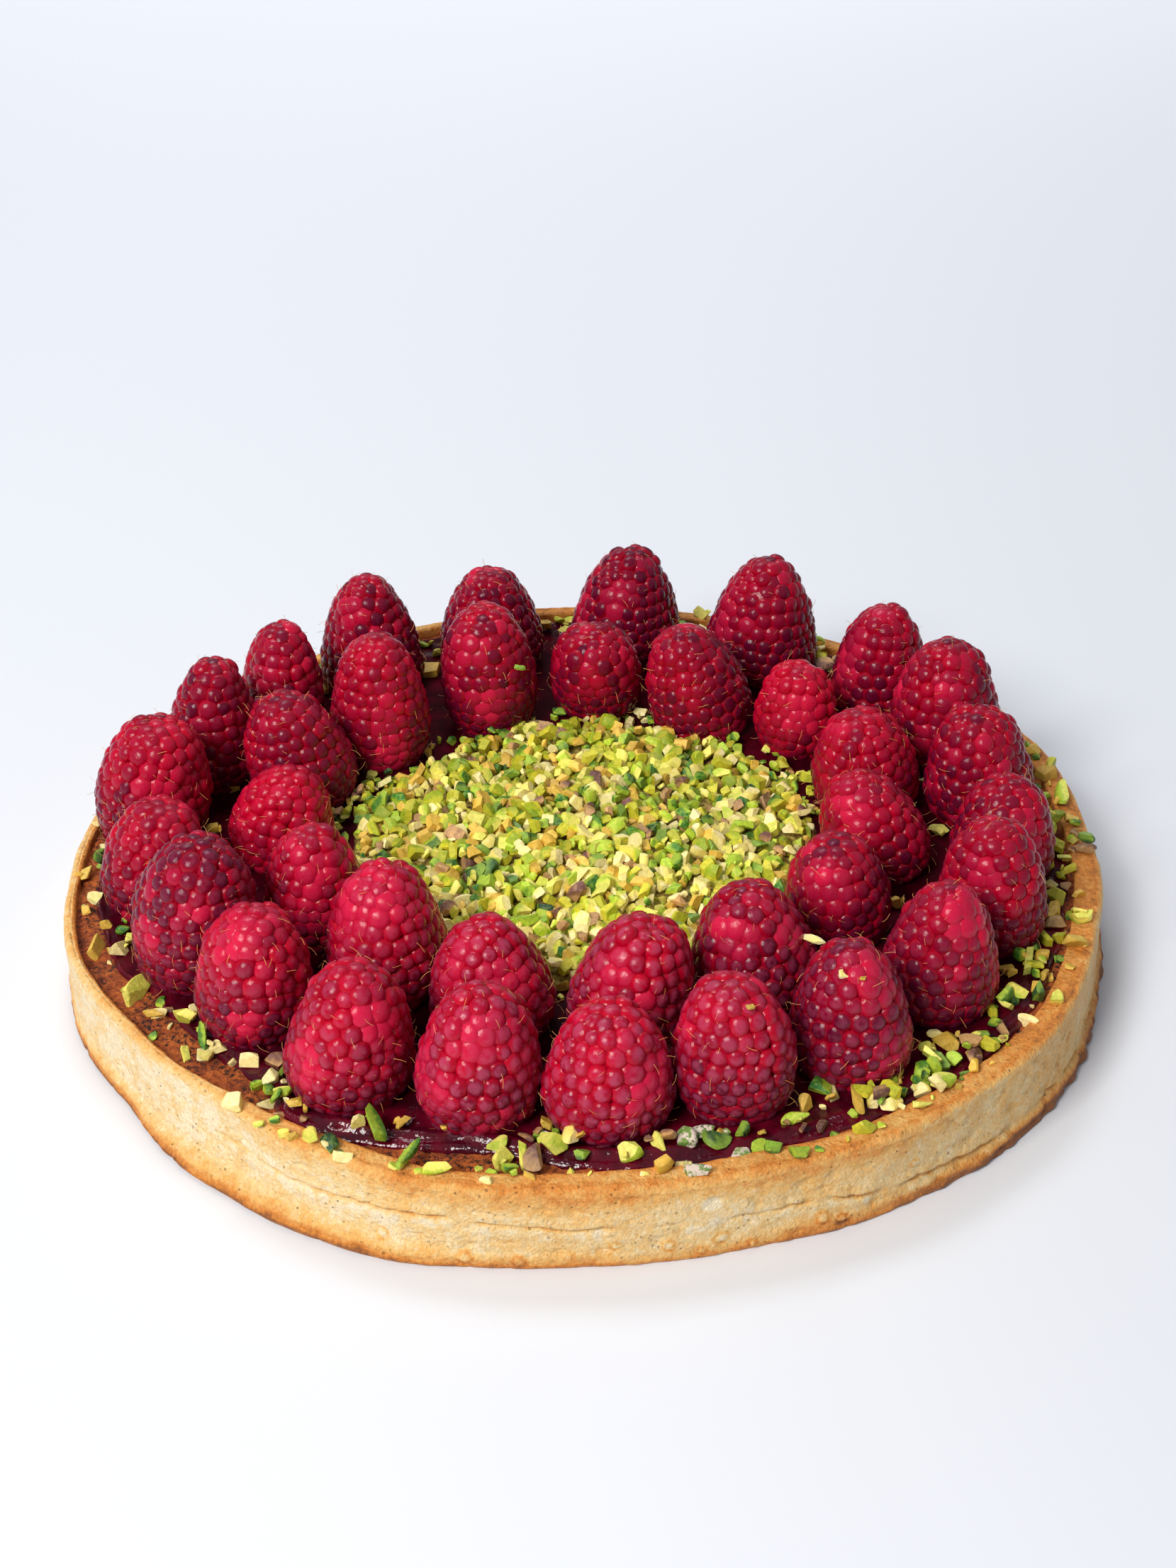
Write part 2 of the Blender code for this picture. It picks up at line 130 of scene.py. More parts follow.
# Layers of smooth noise: size of the lumps and their depth in mm, and a seed
CRUST_LUMPS = ((17, 0.42, 0), (4.5, 0.24, 3), (1.7, 0.10, 7))
BAKE_LUMPS = ((22, 0.10, 5),)
CREASE_WAVES = ((9, 0.5, 4), (2.6, 0.45, 8))
CREAM_LUMPS = ((3.5, 0.5, 2), (1.6, 0.5, 5), (0.9, 0.3, 8))
JAM_WAVES = ((7, 1.0, 3), (15, 0.9, 6))

# Raspberries: bearing, reach, height and width in mm, lean in degrees and its bearing, taper from
# 0, round, to 1, a cone, ripeness, and the smooth patches where drupelets merge, each a bearing, a
# share of the height and a radius in mm
Berry = namedtuple("Berry", "bearing reach height width lean lean_bearing taper ripeness patches")
OUTER_RING = (
    (-88, 86, 23, 23, 3, 0, 0.75, 0.12, ((-52, 0.52, 6),)),
    (-72, 87, 26, 21, 3, 180, 0.50, -0.05, ()),
    (-56, 88, 26, 22, 2, 180, 0.85, -0.4, ((-50, 0.88, 7), (-30, 0.30, 5))),
    (-39, 87, 26, 22, 4, 0, 1.00, -0.3, ((-50, 0.86, 7), (-10, 0.35, 5))),
    (-23, 89, 27, 20, 2, 180, 0.55, -0.2, ((-110, 0.70, 4),)),
    (-8, 88, 22, 20, 4, 0, 0.50, -0.2, ()),
    (8, 88, 25, 22, 5, 180, 0.60, -0.25, ()),
    (23, 90, 29, 23, 2, 180, 0.60, -0.25, ((-100, 0.75, 4), (-125, 0.35, 4))),
    (39, 90, 27, 21, 3, 0, 0.70, -0.2, ()),
    (61, 90, 29, 25, 5, 0, 0.95, -0.35, ()),
    (83, 90, 27, 24, 5, 0, 0.80, -0.7, ((-110, 0.70, 5),)),
    (104, 89, 24, 24, 0, 0, 0.90, -0.4, ()),
    (124, 90, 29, 23, 0, 0, 0.95, -0.35, ((-115, 0.80, 5),)),
    (142, 89, 27, 19, 3, 0, 0.60, -0.3, ()),
    (158, 91, 30, 20, 6, 0, 0.80, -0.3, ()),
    (173, 96, 28, 23, 10, 0, 0.35, 0.0, ((-90, 0.60, 5),)),
    (-171, 93, 24, 20, 14, 0, 0.40, -0.15, ()),
    (-154, 89, 30, 23, 11, 0, 0.25, -0.6, ((-140, 0.35, 5), (-90, 0.70, 3))),
    (-139, 87, 26, 21, 8, 0, 0.40, 0.0, ((-125, 0.88, 6), (-90, 0.30, 4))),
    (-121, 88, 26, 23, 7, 0, 0.80, 0.05, ((-55, 0.76, 6), (-135, 0.36, 6))),
    (-104, 86, 25.5, 22, 4, 0, 0.60, -0.05, ((-95, 0.84, 6), (-135, 0.36, 5))),
)
INNER_RING = (
    (-84, 62, 25, 23, 13, 0, 0.60, 0.0, ((-130, 0.72, 5), (-90, 0.50, 4))),
    (-57, 62, 25, 24, 9, 180, 0.85, -0.4, ((-110, 0.80, 5),)),
    (-32, 61, 22, 20, 6, 180, 0.30, -0.35, ((-110, 0.80, 5),)),
    (-7, 65, 22, 21, 24, 165, 0.70, -0.1, ((-100, 0.80, 5),)),
    (15, 66, 23, 22, 12, -150, 0.50, 0.0, ()),
    (40, 64, 21, 17, 2, 0, 0.35, 0.3, ((-90, 0.60, 7),)),
    (60, 60, 26, 22, 16, 180, 0.55, -0.3, ()),
    (86, 64, 24, 20, 20, -100, 0.20, -0.3, ()),
    (110, 60, 29, 21, 4, 180, 0.25, -0.2, ((-90, 0.35, 6), (-110, 0.80, 5))),
    (138, 62, 30, 21, 2, 90, 0.50, 0.0, ()),
    (157, 66, 26, 22, 14, -170, 0.60, -0.2, ()),
    (177, 67, 20, 21, 16, -10, 0.60, 0.25, ()),
    (-153, 62, 25, 18, 2, 0, 0.40, 0.0, ((-70, 0.80, 5),)),
    (-130, 61, 27, 23, 3, 90, 0.60, 0.0, ((-125, 0.86, 9),)),
    (-107, 62, 23, 23, 4, 180, 0.75, 0.0, ((-70, 0.62, 7),)),
)
BERRIES = {f"{ring}_berry_{i:02d}": Berry(*row)
           for ring, rows in (("outer", OUTER_RING), ("inner", INNER_RING))
           for i, row in enumerate(rows, start=1)}
# The fruit bulges a little past its solid, and touches its neighbours
FULLNESS = 1.07
DRUPELET_HEIGHT = 0.86
DRUPELET_RINGS = (0, 22, 44, 64, 84, 102)
DRUPELET_SIDES = 10
GROOVE_ANGLE = 62
CORE_TAPER = 0.5
CORE_SIDES = 24
FIRST_BERRY_SEED = 100
# A golden hair, as a curve from its foot
HAIR_MIDDLE = (0.4 * MM, 0, 1.0 * MM)
HAIR_TIP = (2.0 * MM, 0, 1.2 * MM)
HAIR_RADIUS = 0.036 * MM
HAIR_ROOT = 1.25 * MM
# How dusty the fruit is, by bearing: partly bloom, and partly painted sheen, most on the front
# fruit that faces the light
BLOOM_AND_SHEEN = ((-150, 0.18), (-120, 0.36), (-95, 0.55), (-66, 0.42), (-50, 0.2), (-30, 0.08), (0, 0.05),
         (90, 0.03), (170, 0.08))

# The pistachio bed
BED_RADIUS = 50 * MM
BED_DOME = 3.0 * MM
BED_EDGE = 1.2 * MM
BED_WAVES = ((5, 0.8, 20), (7, 0.6, 55))
BED_STEPS = 200
BED_SHAPES = 20
BED_KIT_SEED = 61
BED_SEED = 4
# Shares of each kind of nib at the front and at the rear of the bed
BED_FRONT = (("pale", 0.26), ("light", 0.23), ("ochre", 0.11), ("lime", 0.18), ("skin", 0.08),
             ("mealy", 0.01), ("dark", 0.03), ("green", 0.10))
BED_REAR = (("lime", 0.38), ("light", 0.14), ("ochre", 0.14), ("pale", 0.10), ("green", 0.13),
            ("skin", 0.07), ("dark", 0.04))

# Colours of the chopped nuts: flesh and outside
NUT_KINDS = {
    "light": ((250, 234, 114), (168, 196, 38)),
    "lime": ((214, 202, 54), (138, 160, 22)),
    "pale": ((252, 234, 168), (244, 224, 112)),
    "green": ((190, 214, 62), (34, 108, 30)),
    "dark": ((150, 184, 60), (18, 66, 36)),
    "ochre": ((238, 196, 88), (198, 156, 42)),
    "skin": ((206, 160, 100), (104, 64, 64)),
    "mealy": ((128, 160, 72), (30, 84, 46)),
}
SKINNED_KINDS = ("dark", "skin", "mealy", "green")
# Loose nibs by kind: bearing, reach, length and width in mm, turn of the long side
LOOSE_NIBS = {
    "light": (
        (-162, 98, 3, 2.5, 60), (-152, 101, 7, 5, 66), (-144, 97, 6, 4.5, -24),
        (-139, 102, 3.5, 1.5, -70), (-125, 99, 3.5, 2, 0), (-124, 108, 2, 1.5, 0),
        (-121, 108, 2, 1.5, 0), (-118, 107, 4, 3.5, -46), (-109, 108, 2, 1.5, 0),
        (-105, 107, 5.5, 2.5, 0), (-100, 98, 3.5, 3, 0), (-99, 101, 4, 3.5, 58),
        (-97, 100, 6, 1.5, -86), (-94, 98, 5, 4.5, 0), (-92, 104, 3.5, 1.5, -82),
        (-86, 100, 4, 3.5, 0), (-83, 99, 3.5, 2.5, -60), (-68, 99, 5, 2.5, 0),
        (-61, 108, 1.5, 1.5, 0), (-56, 108, 3.5, 2.5, 0), (-52, 106, 4.5, 3, 17),
        (-43, 102, 3.5, 2.5, 20), (-33, 108, 2.5, 2.5, 0), (-28, 99, 6, 3, 82),
        (-18, 106, 4.5, 3, 0), (-2, 105, 3, 2.5, 8), (2, 77, 4, 2.5, 0), (7, 106, 7, 3.5, 82),
    ),
    "pale": (
        (-172, 104, 3, 2.5, 0), (-160, 101, 4, 3.5, 58), (-147, 100, 3, 2, 0),
        (-145, 94, 2, 1.5, 0), (-137, 97, 3.5, 2.5, 0), (-137, 100, 3, 2.5, 0),
        (-132, 96, 3.5, 3, 0), (-128, 97, 3, 3, 0), (-128, 107, 3.5, 3, 0),
        (-126, 102, 3.5, 2, 33), (-115, 100, 2.5, 2.5, -8), (-114, 109, 3.5, 2, 0),
        (-100, 108, 2, 1.5, 0), (-92, 96, 6, 3, 69), (-85, 106, 1.5, 1, 0),
        (-81, 104, 3.5, 3, 0), (-62, 95, 5, 3, 81), (-59, 101, 4, 3, 71),
        (-58, 104, 4, 3, 33), (-54, 104, 3, 2.5, 0), (-53, 106, 3.5, 2.5, -36),
        (-37, 106, 4.5, 2.5, -48), (16, 81, 6, 3, 0),
    ),
    "green": (
        (-164, 99, 3, 2, 0), (-149, 98, 2.5, 2, 71), (-144, 104, 2.5, 1.5, 43),
        (-139, 98, 6.5, 2, -79), (-129, 99, 2.5, 2, 16), (-127, 99, 3, 2, -72),
        (-125, 101, 3, 1.5, 63), (-123, 106, 2, 1.5, 0), (-113, 100, 7.5, 3, -66),
        (-108, 105, 7.5, 2, 64), (-100, 105, 3, 2, -48), (-98, 105, 3, 2, 0),
        (-73, 103, 3.5, 3, 47), (-70, 108, 3.5, 2.5, 0), (-63, 94, 4.5, 3.5, -33),
        (-62, 102, 2, 1.5, -35), (-56, 102, 3, 2.5, 69), (-53, 102, 3.5, 1.5, -8),
        (-52, 101, 3.5, 3, -14), (-48, 102, 3, 2.5, -16), (-42, 104, 2.5, 1.5, 0),
        (-2, 100, 6.5, 3.5, -69),
    ),
    "dark": (
        (-128, 94, 3.5, 1.5, 79), (-116, 107, 3.5, 2.5, -61), (-96, 94, 1.5, 1.5, 0),
        (-94, 93, 1.5, 1.5, 0), (-91, 100, 2.5, 2.5, -27), (-77, 100, 5, 3, 0),
        (-74, 99, 2.5, 2.5, 44), (-72, 105, 3, 2, 0), (-60, 79, 3, 2.5, 71),
        (-59, 103, 2, 1.5, 72), (-50, 101, 4, 3, -58), (-48, 106, 3.5, 1.5, 0),
        (-35, 101, 2.5, 2.5, 0), (-32, 104, 5, 3, 72), (-25, 104, 2, 2, 0),
        (35, 87, 3.5, 3, 0),
    ),
    "ochre": (
        (-177, 107, 5, 2.5, 82), (-170, 106, 2, 2, 0), (-166, 102, 2.5, 2, 0),
        (-162, 105, 6, 3.5, 81), (-147, 91, 4.5, 1.5, 66), (-147, 101, 4, 1.5, -14),
        (-123, 100, 3, 2, 0), (-120, 108, 2.5, 1.5, 0), (-111, 96, 3, 2.5, 46),
        (-106, 96, 2, 2, -42), (-96, 106, 2.5, 1, -23), (-95, 91, 2.5, 2.5, 0),
        (-91, 97, 2.5, 1.5, 30), (-83, 105, 3.5, 3, 36), (-76, 97, 2.5, 1.5, 71),
        (-72, 100, 1.5, 1.5, -56), (-66, 96, 3, 3, 56), (-63, 97, 2, 1.5, 0),
        (-61, 100, 7, 2, -78), (-58, 79, 1, 1, 0), (-55, 99, 2, 1.5, 0), (-51, 108, 1.5, 1, 0),
        (-48, 97, 3, 2, 71), (-46, 98, 5, 4, -49), (-30, 96, 3, 2.5, -48),
        (-29, 103, 2, 2, 46), (-27, 107, 2, 1.5, 0), (-26, 101, 3, 2.5, 15),
        (-23, 106, 4.5, 4, 0), (-21, 68, 3.5, 2.5, 0), (-17, 100, 4, 3, 59),
        (-14, 100, 3, 2.5, 0), (-5, 103, 2.5, 2, 0), (1, 100, 3, 2, 0), (2, 106, 3, 2.5, 0),
        (12, 106, 4.5, 3, 0), (115, 87, 5, 4, 0), (131, 95, 6, 4.5, 63), (160, 88, 5, 4, 0),
        (161, 84, 4, 2.5, 0), (173, 82, 3, 2.5, 0),
    ),
    "skin": (
        (-147, 98, 2, 1.5, 0), (-130, 92, 4.5, 3, 0), (-124, 103, 2.5, 1.5, 24),
        (-121, 102, 1.5, 1.5, 0), (-97, 96, 3, 1.5, -29), (-96, 102, 5.5, 3.5, -81),
        (-82, 98, 3, 2, 0), (-68, 102, 3.5, 1, 67), (-66, 102, 4.5, 1.5, 66),
        (-46, 104, 6, 3, 82), (-40, 103, 4, 1.5, -71), (-19, 101, 4.5, 2.5, 15),
        (-11, 102, 2, 2, 56),
    ),
    "mealy": (
        (-95, 94, 2, 1.5, -17), (-80, 98, 5, 3.5, -71), (-80, 107, 4.5, 2, 0),
        (-78, 96, 4.5, 2.5, 0), (-77, 72, 4.5, 2, 60), (-75, 104, 4, 3, 0),
    ),
}
# Crumbs that lie on fruit: bearing on the berry, share of its height, length, width and turn
NIBS_ON_FRUIT = (
    ("outer_berry_03", -118, 0.90, 2.4, 1.8, 20, "pale"),
    ("outer_berry_03", -84, 0.89, 1.8, 1.2, 80, "ochre"),
    ("outer_berry_02", -70, 0.93, 1.9, 1.2, 30, "ochre"),
    ("inner_berry_02", -25, 0.62, 5.6, 1.8, -45, "pale"),
    ("outer_berry_16", -80, 0.45, 2.2, 1.4, 10, "ochre"),
    ("inner_berry_12", -60, 0.70, 2.4, 1.5, 60, "ochre"),
    ("inner_berry_09", -50, 0.62, 2.6, 1.6, 0, "green"),
    ("inner_berry_08", -80, 0.85, 2.8, 1.8, 40, "light"),
    ("inner_berry_08", -130, 0.60, 2.4, 1.4, 70, "ochre"),
)
# Nibs that lie round the edge of the bed, and the share of larger nibs with a crumb beside them
SPILLED = 260
CRUMB_SHARE = 0.7
# The nibs bulge a little past the outline that the front shows
NIB_FULLNESS = 1.1
# Length in mm from which a loose nib takes a finely made shape
LEAST_FINE_NIB = 2.8
FINE_SHAPES = 20
COARSE_SHAPES = 10
LOOSE_KIT_SEED = 51
PICK_SEED = 42
SCATTER_SEED = 41
# Nibs that follow a rule, round the right and the rear: bearings, kinds, and nibs a degree
SCATTER_FROM = -68
SCATTER_TO = 178
SCATTER_KINDS = ("light", "light", "lime", "lime", "pale", "green", "green", "ochre", "dark",
                 "skin")
SCATTER_DENSITY = ((-68, 0.3), (-50, 0.9), (-30, 0.7), (0, 1.3), (25, 2.0), (60, 1.6), (100, 0.7),
                   (150, 0.6), (178, 0.5))

# The camera that the photograph's outlines give, on its 1659 by 2212 frame
FOCAL_PIXELS = 3200
FRAME_HEIGHT_PIXELS = 2212
SENSOR_HEIGHT = 36
CAMERA_PLACE = Vector((0.0, -407.2, 289.3)) * MM
CAMERA_PITCH = -0.5615
CAMERA_YAW = 0.0028
CAMERA_ROLL = -0.0232
# Soft lights: name, place and target in metres, size, power in watts and colour
LIGHTS = (
    ("window", (-0.51, -0.65, 0.80), (0, 0, 0), (0.46, 0.42), 12.8, (1.0, 0.975, 0.93)),
    ("sky", (-0.15, 0.50, 0.95), (0, 0, 0), (0.4, 0.3), 3.0, (0.94, 0.97, 1.0)),
    ("backdrop", (0.0, 1.4, 1.6), (0, 3.0, 0), (2.0, 1.0), 52.0, (0.98, 0.98, 1.0)),
)
ROOM_COLOUR = (0.86, 0.92, 1.0, 1.0)
ROOM_STRENGTH = 0.35
FLOOR_HALF_WIDTH = 12


def linear(red, green, blue):
    """A colour as seen on a screen, 0 to 255, as scene light."""
    return tuple(((value / 255 + 0.055) / 1.055) ** 2.4 for value in (red, green, blue))


def around(values, bearing):
    """Read a (bearing, value) list at any bearing, in degrees, with smooth steps between."""
    knots = sorted((angle % 360, value) for angle, value in values)
    angle = bearing % 360
    last, first = knots[-1], knots[0]
    knots = [(last[0] - 360, last[1])] + knots + [(first[0] + 360, first[1])]
    for (low, start), (high, end) in zip(knots, knots[1:]):
        if low <= angle <= high:
            share = (angle - low) / (high - low)
            return start + (end - start) * share * share * (3 - 2 * share)
    return last[1]


def smooth_step(low, high, value):
    """0 below low, 1 above high, and a smooth rise between them."""
    share = min(max((value - low) / (high - low), 0.0), 1.0)
    return share * share * (3 - 2 * share)


def on_tart(bearing, reach, height):
    """A point from its bearing in degrees, its reach and its height."""
    angle = math.radians(bearing)
    return Vector((reach * math.cos(angle), reach * math.sin(angle), height))


def rough(point, size, seed=0.0):
    """Smooth noise between about -1 and 1, with lumps of a size in metres."""
    return noise.noise(point / size + Vector((seed, 1.7 * seed, -seed)))


def lumps(point, layers):
    """Smooth noise in layers of lumps, each a size in mm, a depth and a seed."""
    return sum(depth * rough(point, size * MM, seed) for size, depth, seed in layers)


def outline(bearing):
    """Radius of the case at its rim, a little out of round."""
    return RIM_RADIUS + around(RIM_OFFSET, bearing) * MM


def wall_inside(bearing):
    """Radius of the case wall's inner face at its top."""
    return outline(bearing) - around(RIM_WIDTH, bearing) * MM


def jam_edge(bearing):
    """Radius of the jam's outer edge, always clear of the case wall."""
    return min(around(JAM_REACH, bearing) * MM, wall_inside(bearing) - 1.2 * MM)


class Wire:
    """A value in a node tree, which adds and multiplies as a number does."""

    def __init__(self, tree, socket):
        self.tree = tree
        self.socket = socket

    def __add__(self, other):
        return maths(self.tree, "ADD", self, other)

    def __sub__(self, other):
        return maths(self.tree, "SUBTRACT", self, other)

    def __rsub__(self, other):
        return maths(self.tree, "SUBTRACT", other, self)

    def __mul__(self, other):
        return maths(self.tree, "MULTIPLY", self, other)


def named(sockets, name):
    """The socket in use that has a name, or the one with that number."""
    if isinstance(name, int):
        return sockets[name]
    return next(socket for socket in sockets if socket.name == name and socket.enabled)


def fill(tree, socket, value):
    """Link a value to an input, or set it there."""
    value = value.socket if isinstance(value, Wire) else value
    if isinstance(value, bpy.types.NodeSocket):
        tree.links.new(value, socket)
    elif socket.type == "RGBA":
        socket.default_value = (*value[:3], 1.0)
    else:
        socket.default_value = value


def flow(tree, kind, inputs=None, output=0, **settings):
    """Add a node, set its properties, link or fill its inputs, and give one of its outputs."""
    node = tree.nodes.new(kind)
    for name, value in settings.items():
        setattr(node, name, value)
    for key, value in (inputs or {}).items():
        fill(tree, named(node.inputs, key), value)
    return Wire(tree, named(node.outputs, output))


def maths(tree, operation, first, second):
    """The result of a sum of two values."""
    return flow(tree, "ShaderNodeMath", {0: first, 1: second}, operation=operation)


def blend(tree, factor, first, second, mode="MIX"):
    """The result of mixing two colours."""
    return flow(tree, "ShaderNodeMix", {"Factor": factor, "A": first, "B": second}, "Result",
                data_type="RGBA", blend_type=mode, clamp_factor=True)


def spread(tree, value, low, high, start=0.0, end=1.0):
    """A value moved from one range to another with smooth ends."""
    return flow(tree, "ShaderNodeMapRange", {
        "Value": value, "From Min": low, "From Max": high, "To Min": start, "To Max": end},
        "Result", interpolation_type="SMOOTHSTEP")


def ramp(tree, factor, stops, interpolation="LINEAR"):
    """A colour ramp with (place, colour) stops."""
    colour = flow(tree, "ShaderNodeValToRGB", {0: factor})
    scale = colour.socket.node.color_ramp
    scale.interpolation = interpolation
    while len(scale.elements) < len(stops):
        scale.elements.new(1.0)
    for element, (place, shade) in zip(scale.elements, stops):
        element.position = place
        element.color = (*shade[:3], 1.0)
    return colour


def over_piece(tree):
    """The piece's own coordinates."""
    return flow(tree, "ShaderNodeTexCoord", output="Object")


def grain(tree, size, detail=3.0, roughness=0.5, distortion=0.0):
    """Noise over the piece with lumps of a size in metres, between 0 and 1."""
    return flow(tree, "ShaderNodeTexNoise", {
        "Vector": over_piece(tree), "Scale": 1 / size, "Detail": detail, "Roughness": roughness,
        "Distortion": distortion})


def cells(tree, size):
    """Distance to the nearest of scattered points about a size apart."""
    return flow(tree, "ShaderNodeTexVoronoi", {"Vector": over_piece(tree), "Scale": 1 / size},
                "Distance")


def attribute(tree, name, output="Fac"):
    """A value that the piece's mesh carries."""
    return flow(tree, "ShaderNodeAttribute", output=output, attribute_name=name)


def bump(tree, shader, *layers):
    """Chain bumps of (height, depth in metres) on a shader's normal."""
    normal = None
    for height, depth in layers:
        inputs = {"Height": height, "Distance": depth, "Strength": 1.0}
        if normal is not None:
            inputs["Normal"] = normal
        normal = flow(tree, "ShaderNodeBump", inputs)
    fill(tree, shader.inputs["Normal"], normal)
    return normal


def new_material(name, **values):
    """A Principled material, its tree and its shader, with constant values set on the shader."""
    made = bpy.data.materials.new(name)
    made.use_nodes = True
    shader = made.node_tree.nodes["Principled BSDF"]
    for key, value in values.items():
        shader.inputs[key.replace("_", " ").title().replace("Ior", "IOR")].default_value = value
    return made, made.node_tree, shader


def crust_material():
    """Baked shortcrust: pale cream to orange-brown, mottled, with pores, crumb and dark specks, and
    painted shade in the pores, the crease and round the shaded right.
    """
    made, tree, shader = new_material("Baked shortcrust", roughness=0.55)
    colours = bpy.context.scene.tart_colours
    coarse = grain(tree, 6 * MM, 4, 0.6) - 0.5
    fine = grain(tree, 0.8 * MM, 4, 0.65) - 0.5
    patchy = grain(tree, 2.4 * MM, 5, 0.65) - 0.5
    bake = attribute(tree, "bake")
    colour = ramp(tree, bake + coarse * 0.7 + patchy * 0.6 + fine * 0.6, (
        (0.0, colours.crust_flake), (0.14, colours.crust_pale), (0.42, colours.crust_gold),
        (0.72, colours.crust_brown), (1.0, colours.crust_dark_and_shade)))
    flour = spread(tree, grain(tree, 1.1 * MM, 5, 0.6), 0.54, 0.68)
    flour *= spread(tree, bake, 0.55, 0.3)
    colour = blend(tree, flour * 0.45, colour, colours.crust_flake)
    sandy = spread(tree, cells(tree, 0.75 * MM), 0.15, 0.75, 1.04, 0.94)
    colour = blend(tree, 1.0, colour, sandy, "MULTIPLY")
    # The pores are pits, and are darker as painted shade in them.
    pores = spread(tree, cells(tree, 1.5 * MM), 0.20, 0.10)
    pores *= spread(tree, grain(tree, 4 * MM), 0.48, 0.62)
    colour = blend(tree, pores * 0.35, colour, colours.crust_dark_and_shade)
    specks = spread(tree, cells(tree, 3.4 * MM), 0.075, 0.045)
    colour = blend(tree, specks * 0.85, colour, colours.crust_speck)
    fill(tree, shader.inputs["Base Color"], colour)
    bump(tree, shader, (grain(tree, 1.9 * MM, 6, 0.72), 1.1 * MM),
         (cells(tree, 0.8 * MM), -0.14 * MM), (1.0 - pores, 0.3 * MM))
    return made


def cream_material():
    """Browned almond cream: rust-coloured crumb with scorched spots and pores."""
    made, tree, shader = new_material("Browned almond cream", roughness=0.7)
    colours = bpy.context.scene.tart_colours
    tone = grain(tree, 1.1 * MM, 5, 0.7) * 0.65 + grain(tree, 6 * MM) * 0.35
    colour = ramp(tree, tone, ((0.34, colours.cream_scorch), (0.45, colours.cream_brown),
                               (0.6, colours.cream_light)))
    scorched = spread(tree, grain(tree, 1.0 * MM, 5, 0.75, 0.4), 0.49, 0.57)
    scorched *= spread(tree, grain(tree, 8 * MM), 0.36, 0.56)
    fill(tree, shader.inputs["Base Color"], blend(tree, scorched, colour, colours.cream_scorch))
    bump(tree, shader, (grain(tree, 1.3 * MM, 6, 0.75), 1.3 * MM))
    return made


def jam_material():
    """Set raspberry jam: dark maroon, with a wet rippled coat near its edge, and darker away from
    it as painted shade among the berries.
    """
    made, tree, shader = new_material("Raspberry jam", coat_roughness=0.1,
                                      specular_ior_level=0.02, subsurface_weight=0.15,
                                      subsurface_scale=0.6 * MM,
                                      subsurface_radius=(1.0, 0.15, 0.2))
    colours = bpy.context.scene.tart_colours
    edge = attribute(tree, "edge")
    fill(tree, shader.inputs["Roughness"], spread(tree, edge, 0.0, 1.0, 0.34, 0.18))
    fill(tree, shader.inputs["Coat Weight"], edge * 0.8)
    thin = spread(tree, grain(tree, 5 * MM), 0.35, 0.7)
    colour = blend(tree, thin, colours.jam_dark, colours.jam_red)
    # Away from its front edge the jam is darker: painted shade among the berries.
    painted_shade = spread(tree, edge, 0.0, 1.0, 0.6, 1.0)
    fill(tree, shader.inputs["Base Color"], blend(tree, 1.0, colour, painted_shade, "MULTIPLY"))
    ripples = grain(tree, 3.4 * MM, 3, 0.5, 0.3) * edge
    normal = bump(tree, shader, (ripples, 0.7 * MM), (grain(tree, 0.6 * MM, 2), 0.08 * MM))
    fill(tree, shader.inputs["Coat Normal"], normal)
    return made


def berry_material():
    """Raspberry flesh: crimson drupelets with dusty crowns that carry painted sheen, and brighter
    grooves that carry painted glow.
    """
    made, tree, shader = new_material("Raspberry flesh", roughness=0.15, subsurface_weight=0.15,
                                      subsurface_scale=0.8 * MM, specular_ior_level=0.22,
                                      subsurface_radius=(1.6, 0.25, 0.3))
    colours = bpy.context.scene.tart_colours
    crown = attribute(tree, "crown")
    colour = blend(tree, attribute(tree, "tone"), colours.berry_dark, colours.berry_red)
    # Brighter red in the grooves: painted glow of light through the flesh.
    groove_glow = spread(tree, crown, 0.5, 0.1)
    colour = blend(tree, groove_glow * 0.5, colour, colours.berry_groove)
    # Paler mauve on the crowns: partly bloom, and partly painted sheen.
    bloom = spread(tree, crown, 0.25, 0.8) * spread(tree, grain(tree, 1.6 * MM, 3), 0.3, 0.6)
    colour = blend(tree, bloom * attribute(tree, "bloom"), colour, colours.berry_bloom)
    colour = blend(tree, attribute(tree, "pale"), colour, colours.berry_pale)
    fill(tree, shader.inputs["Base Color"], colour)
    bump(tree, shader, (grain(tree, 1.1 * MM, 4, 0.6), 0.14 * MM))
    return made


def hair_material():
    """The dry golden hairs on the raspberries."""
    made, tree, shader = new_material("Golden hair", roughness=0.5)
    colours = bpy.context.scene.tart_colours
    fill(tree, shader.inputs["Base Color"],
         blend(tree, grain(tree, 3 * MM), colours.hair_dark, colours.hair_light))
    return made


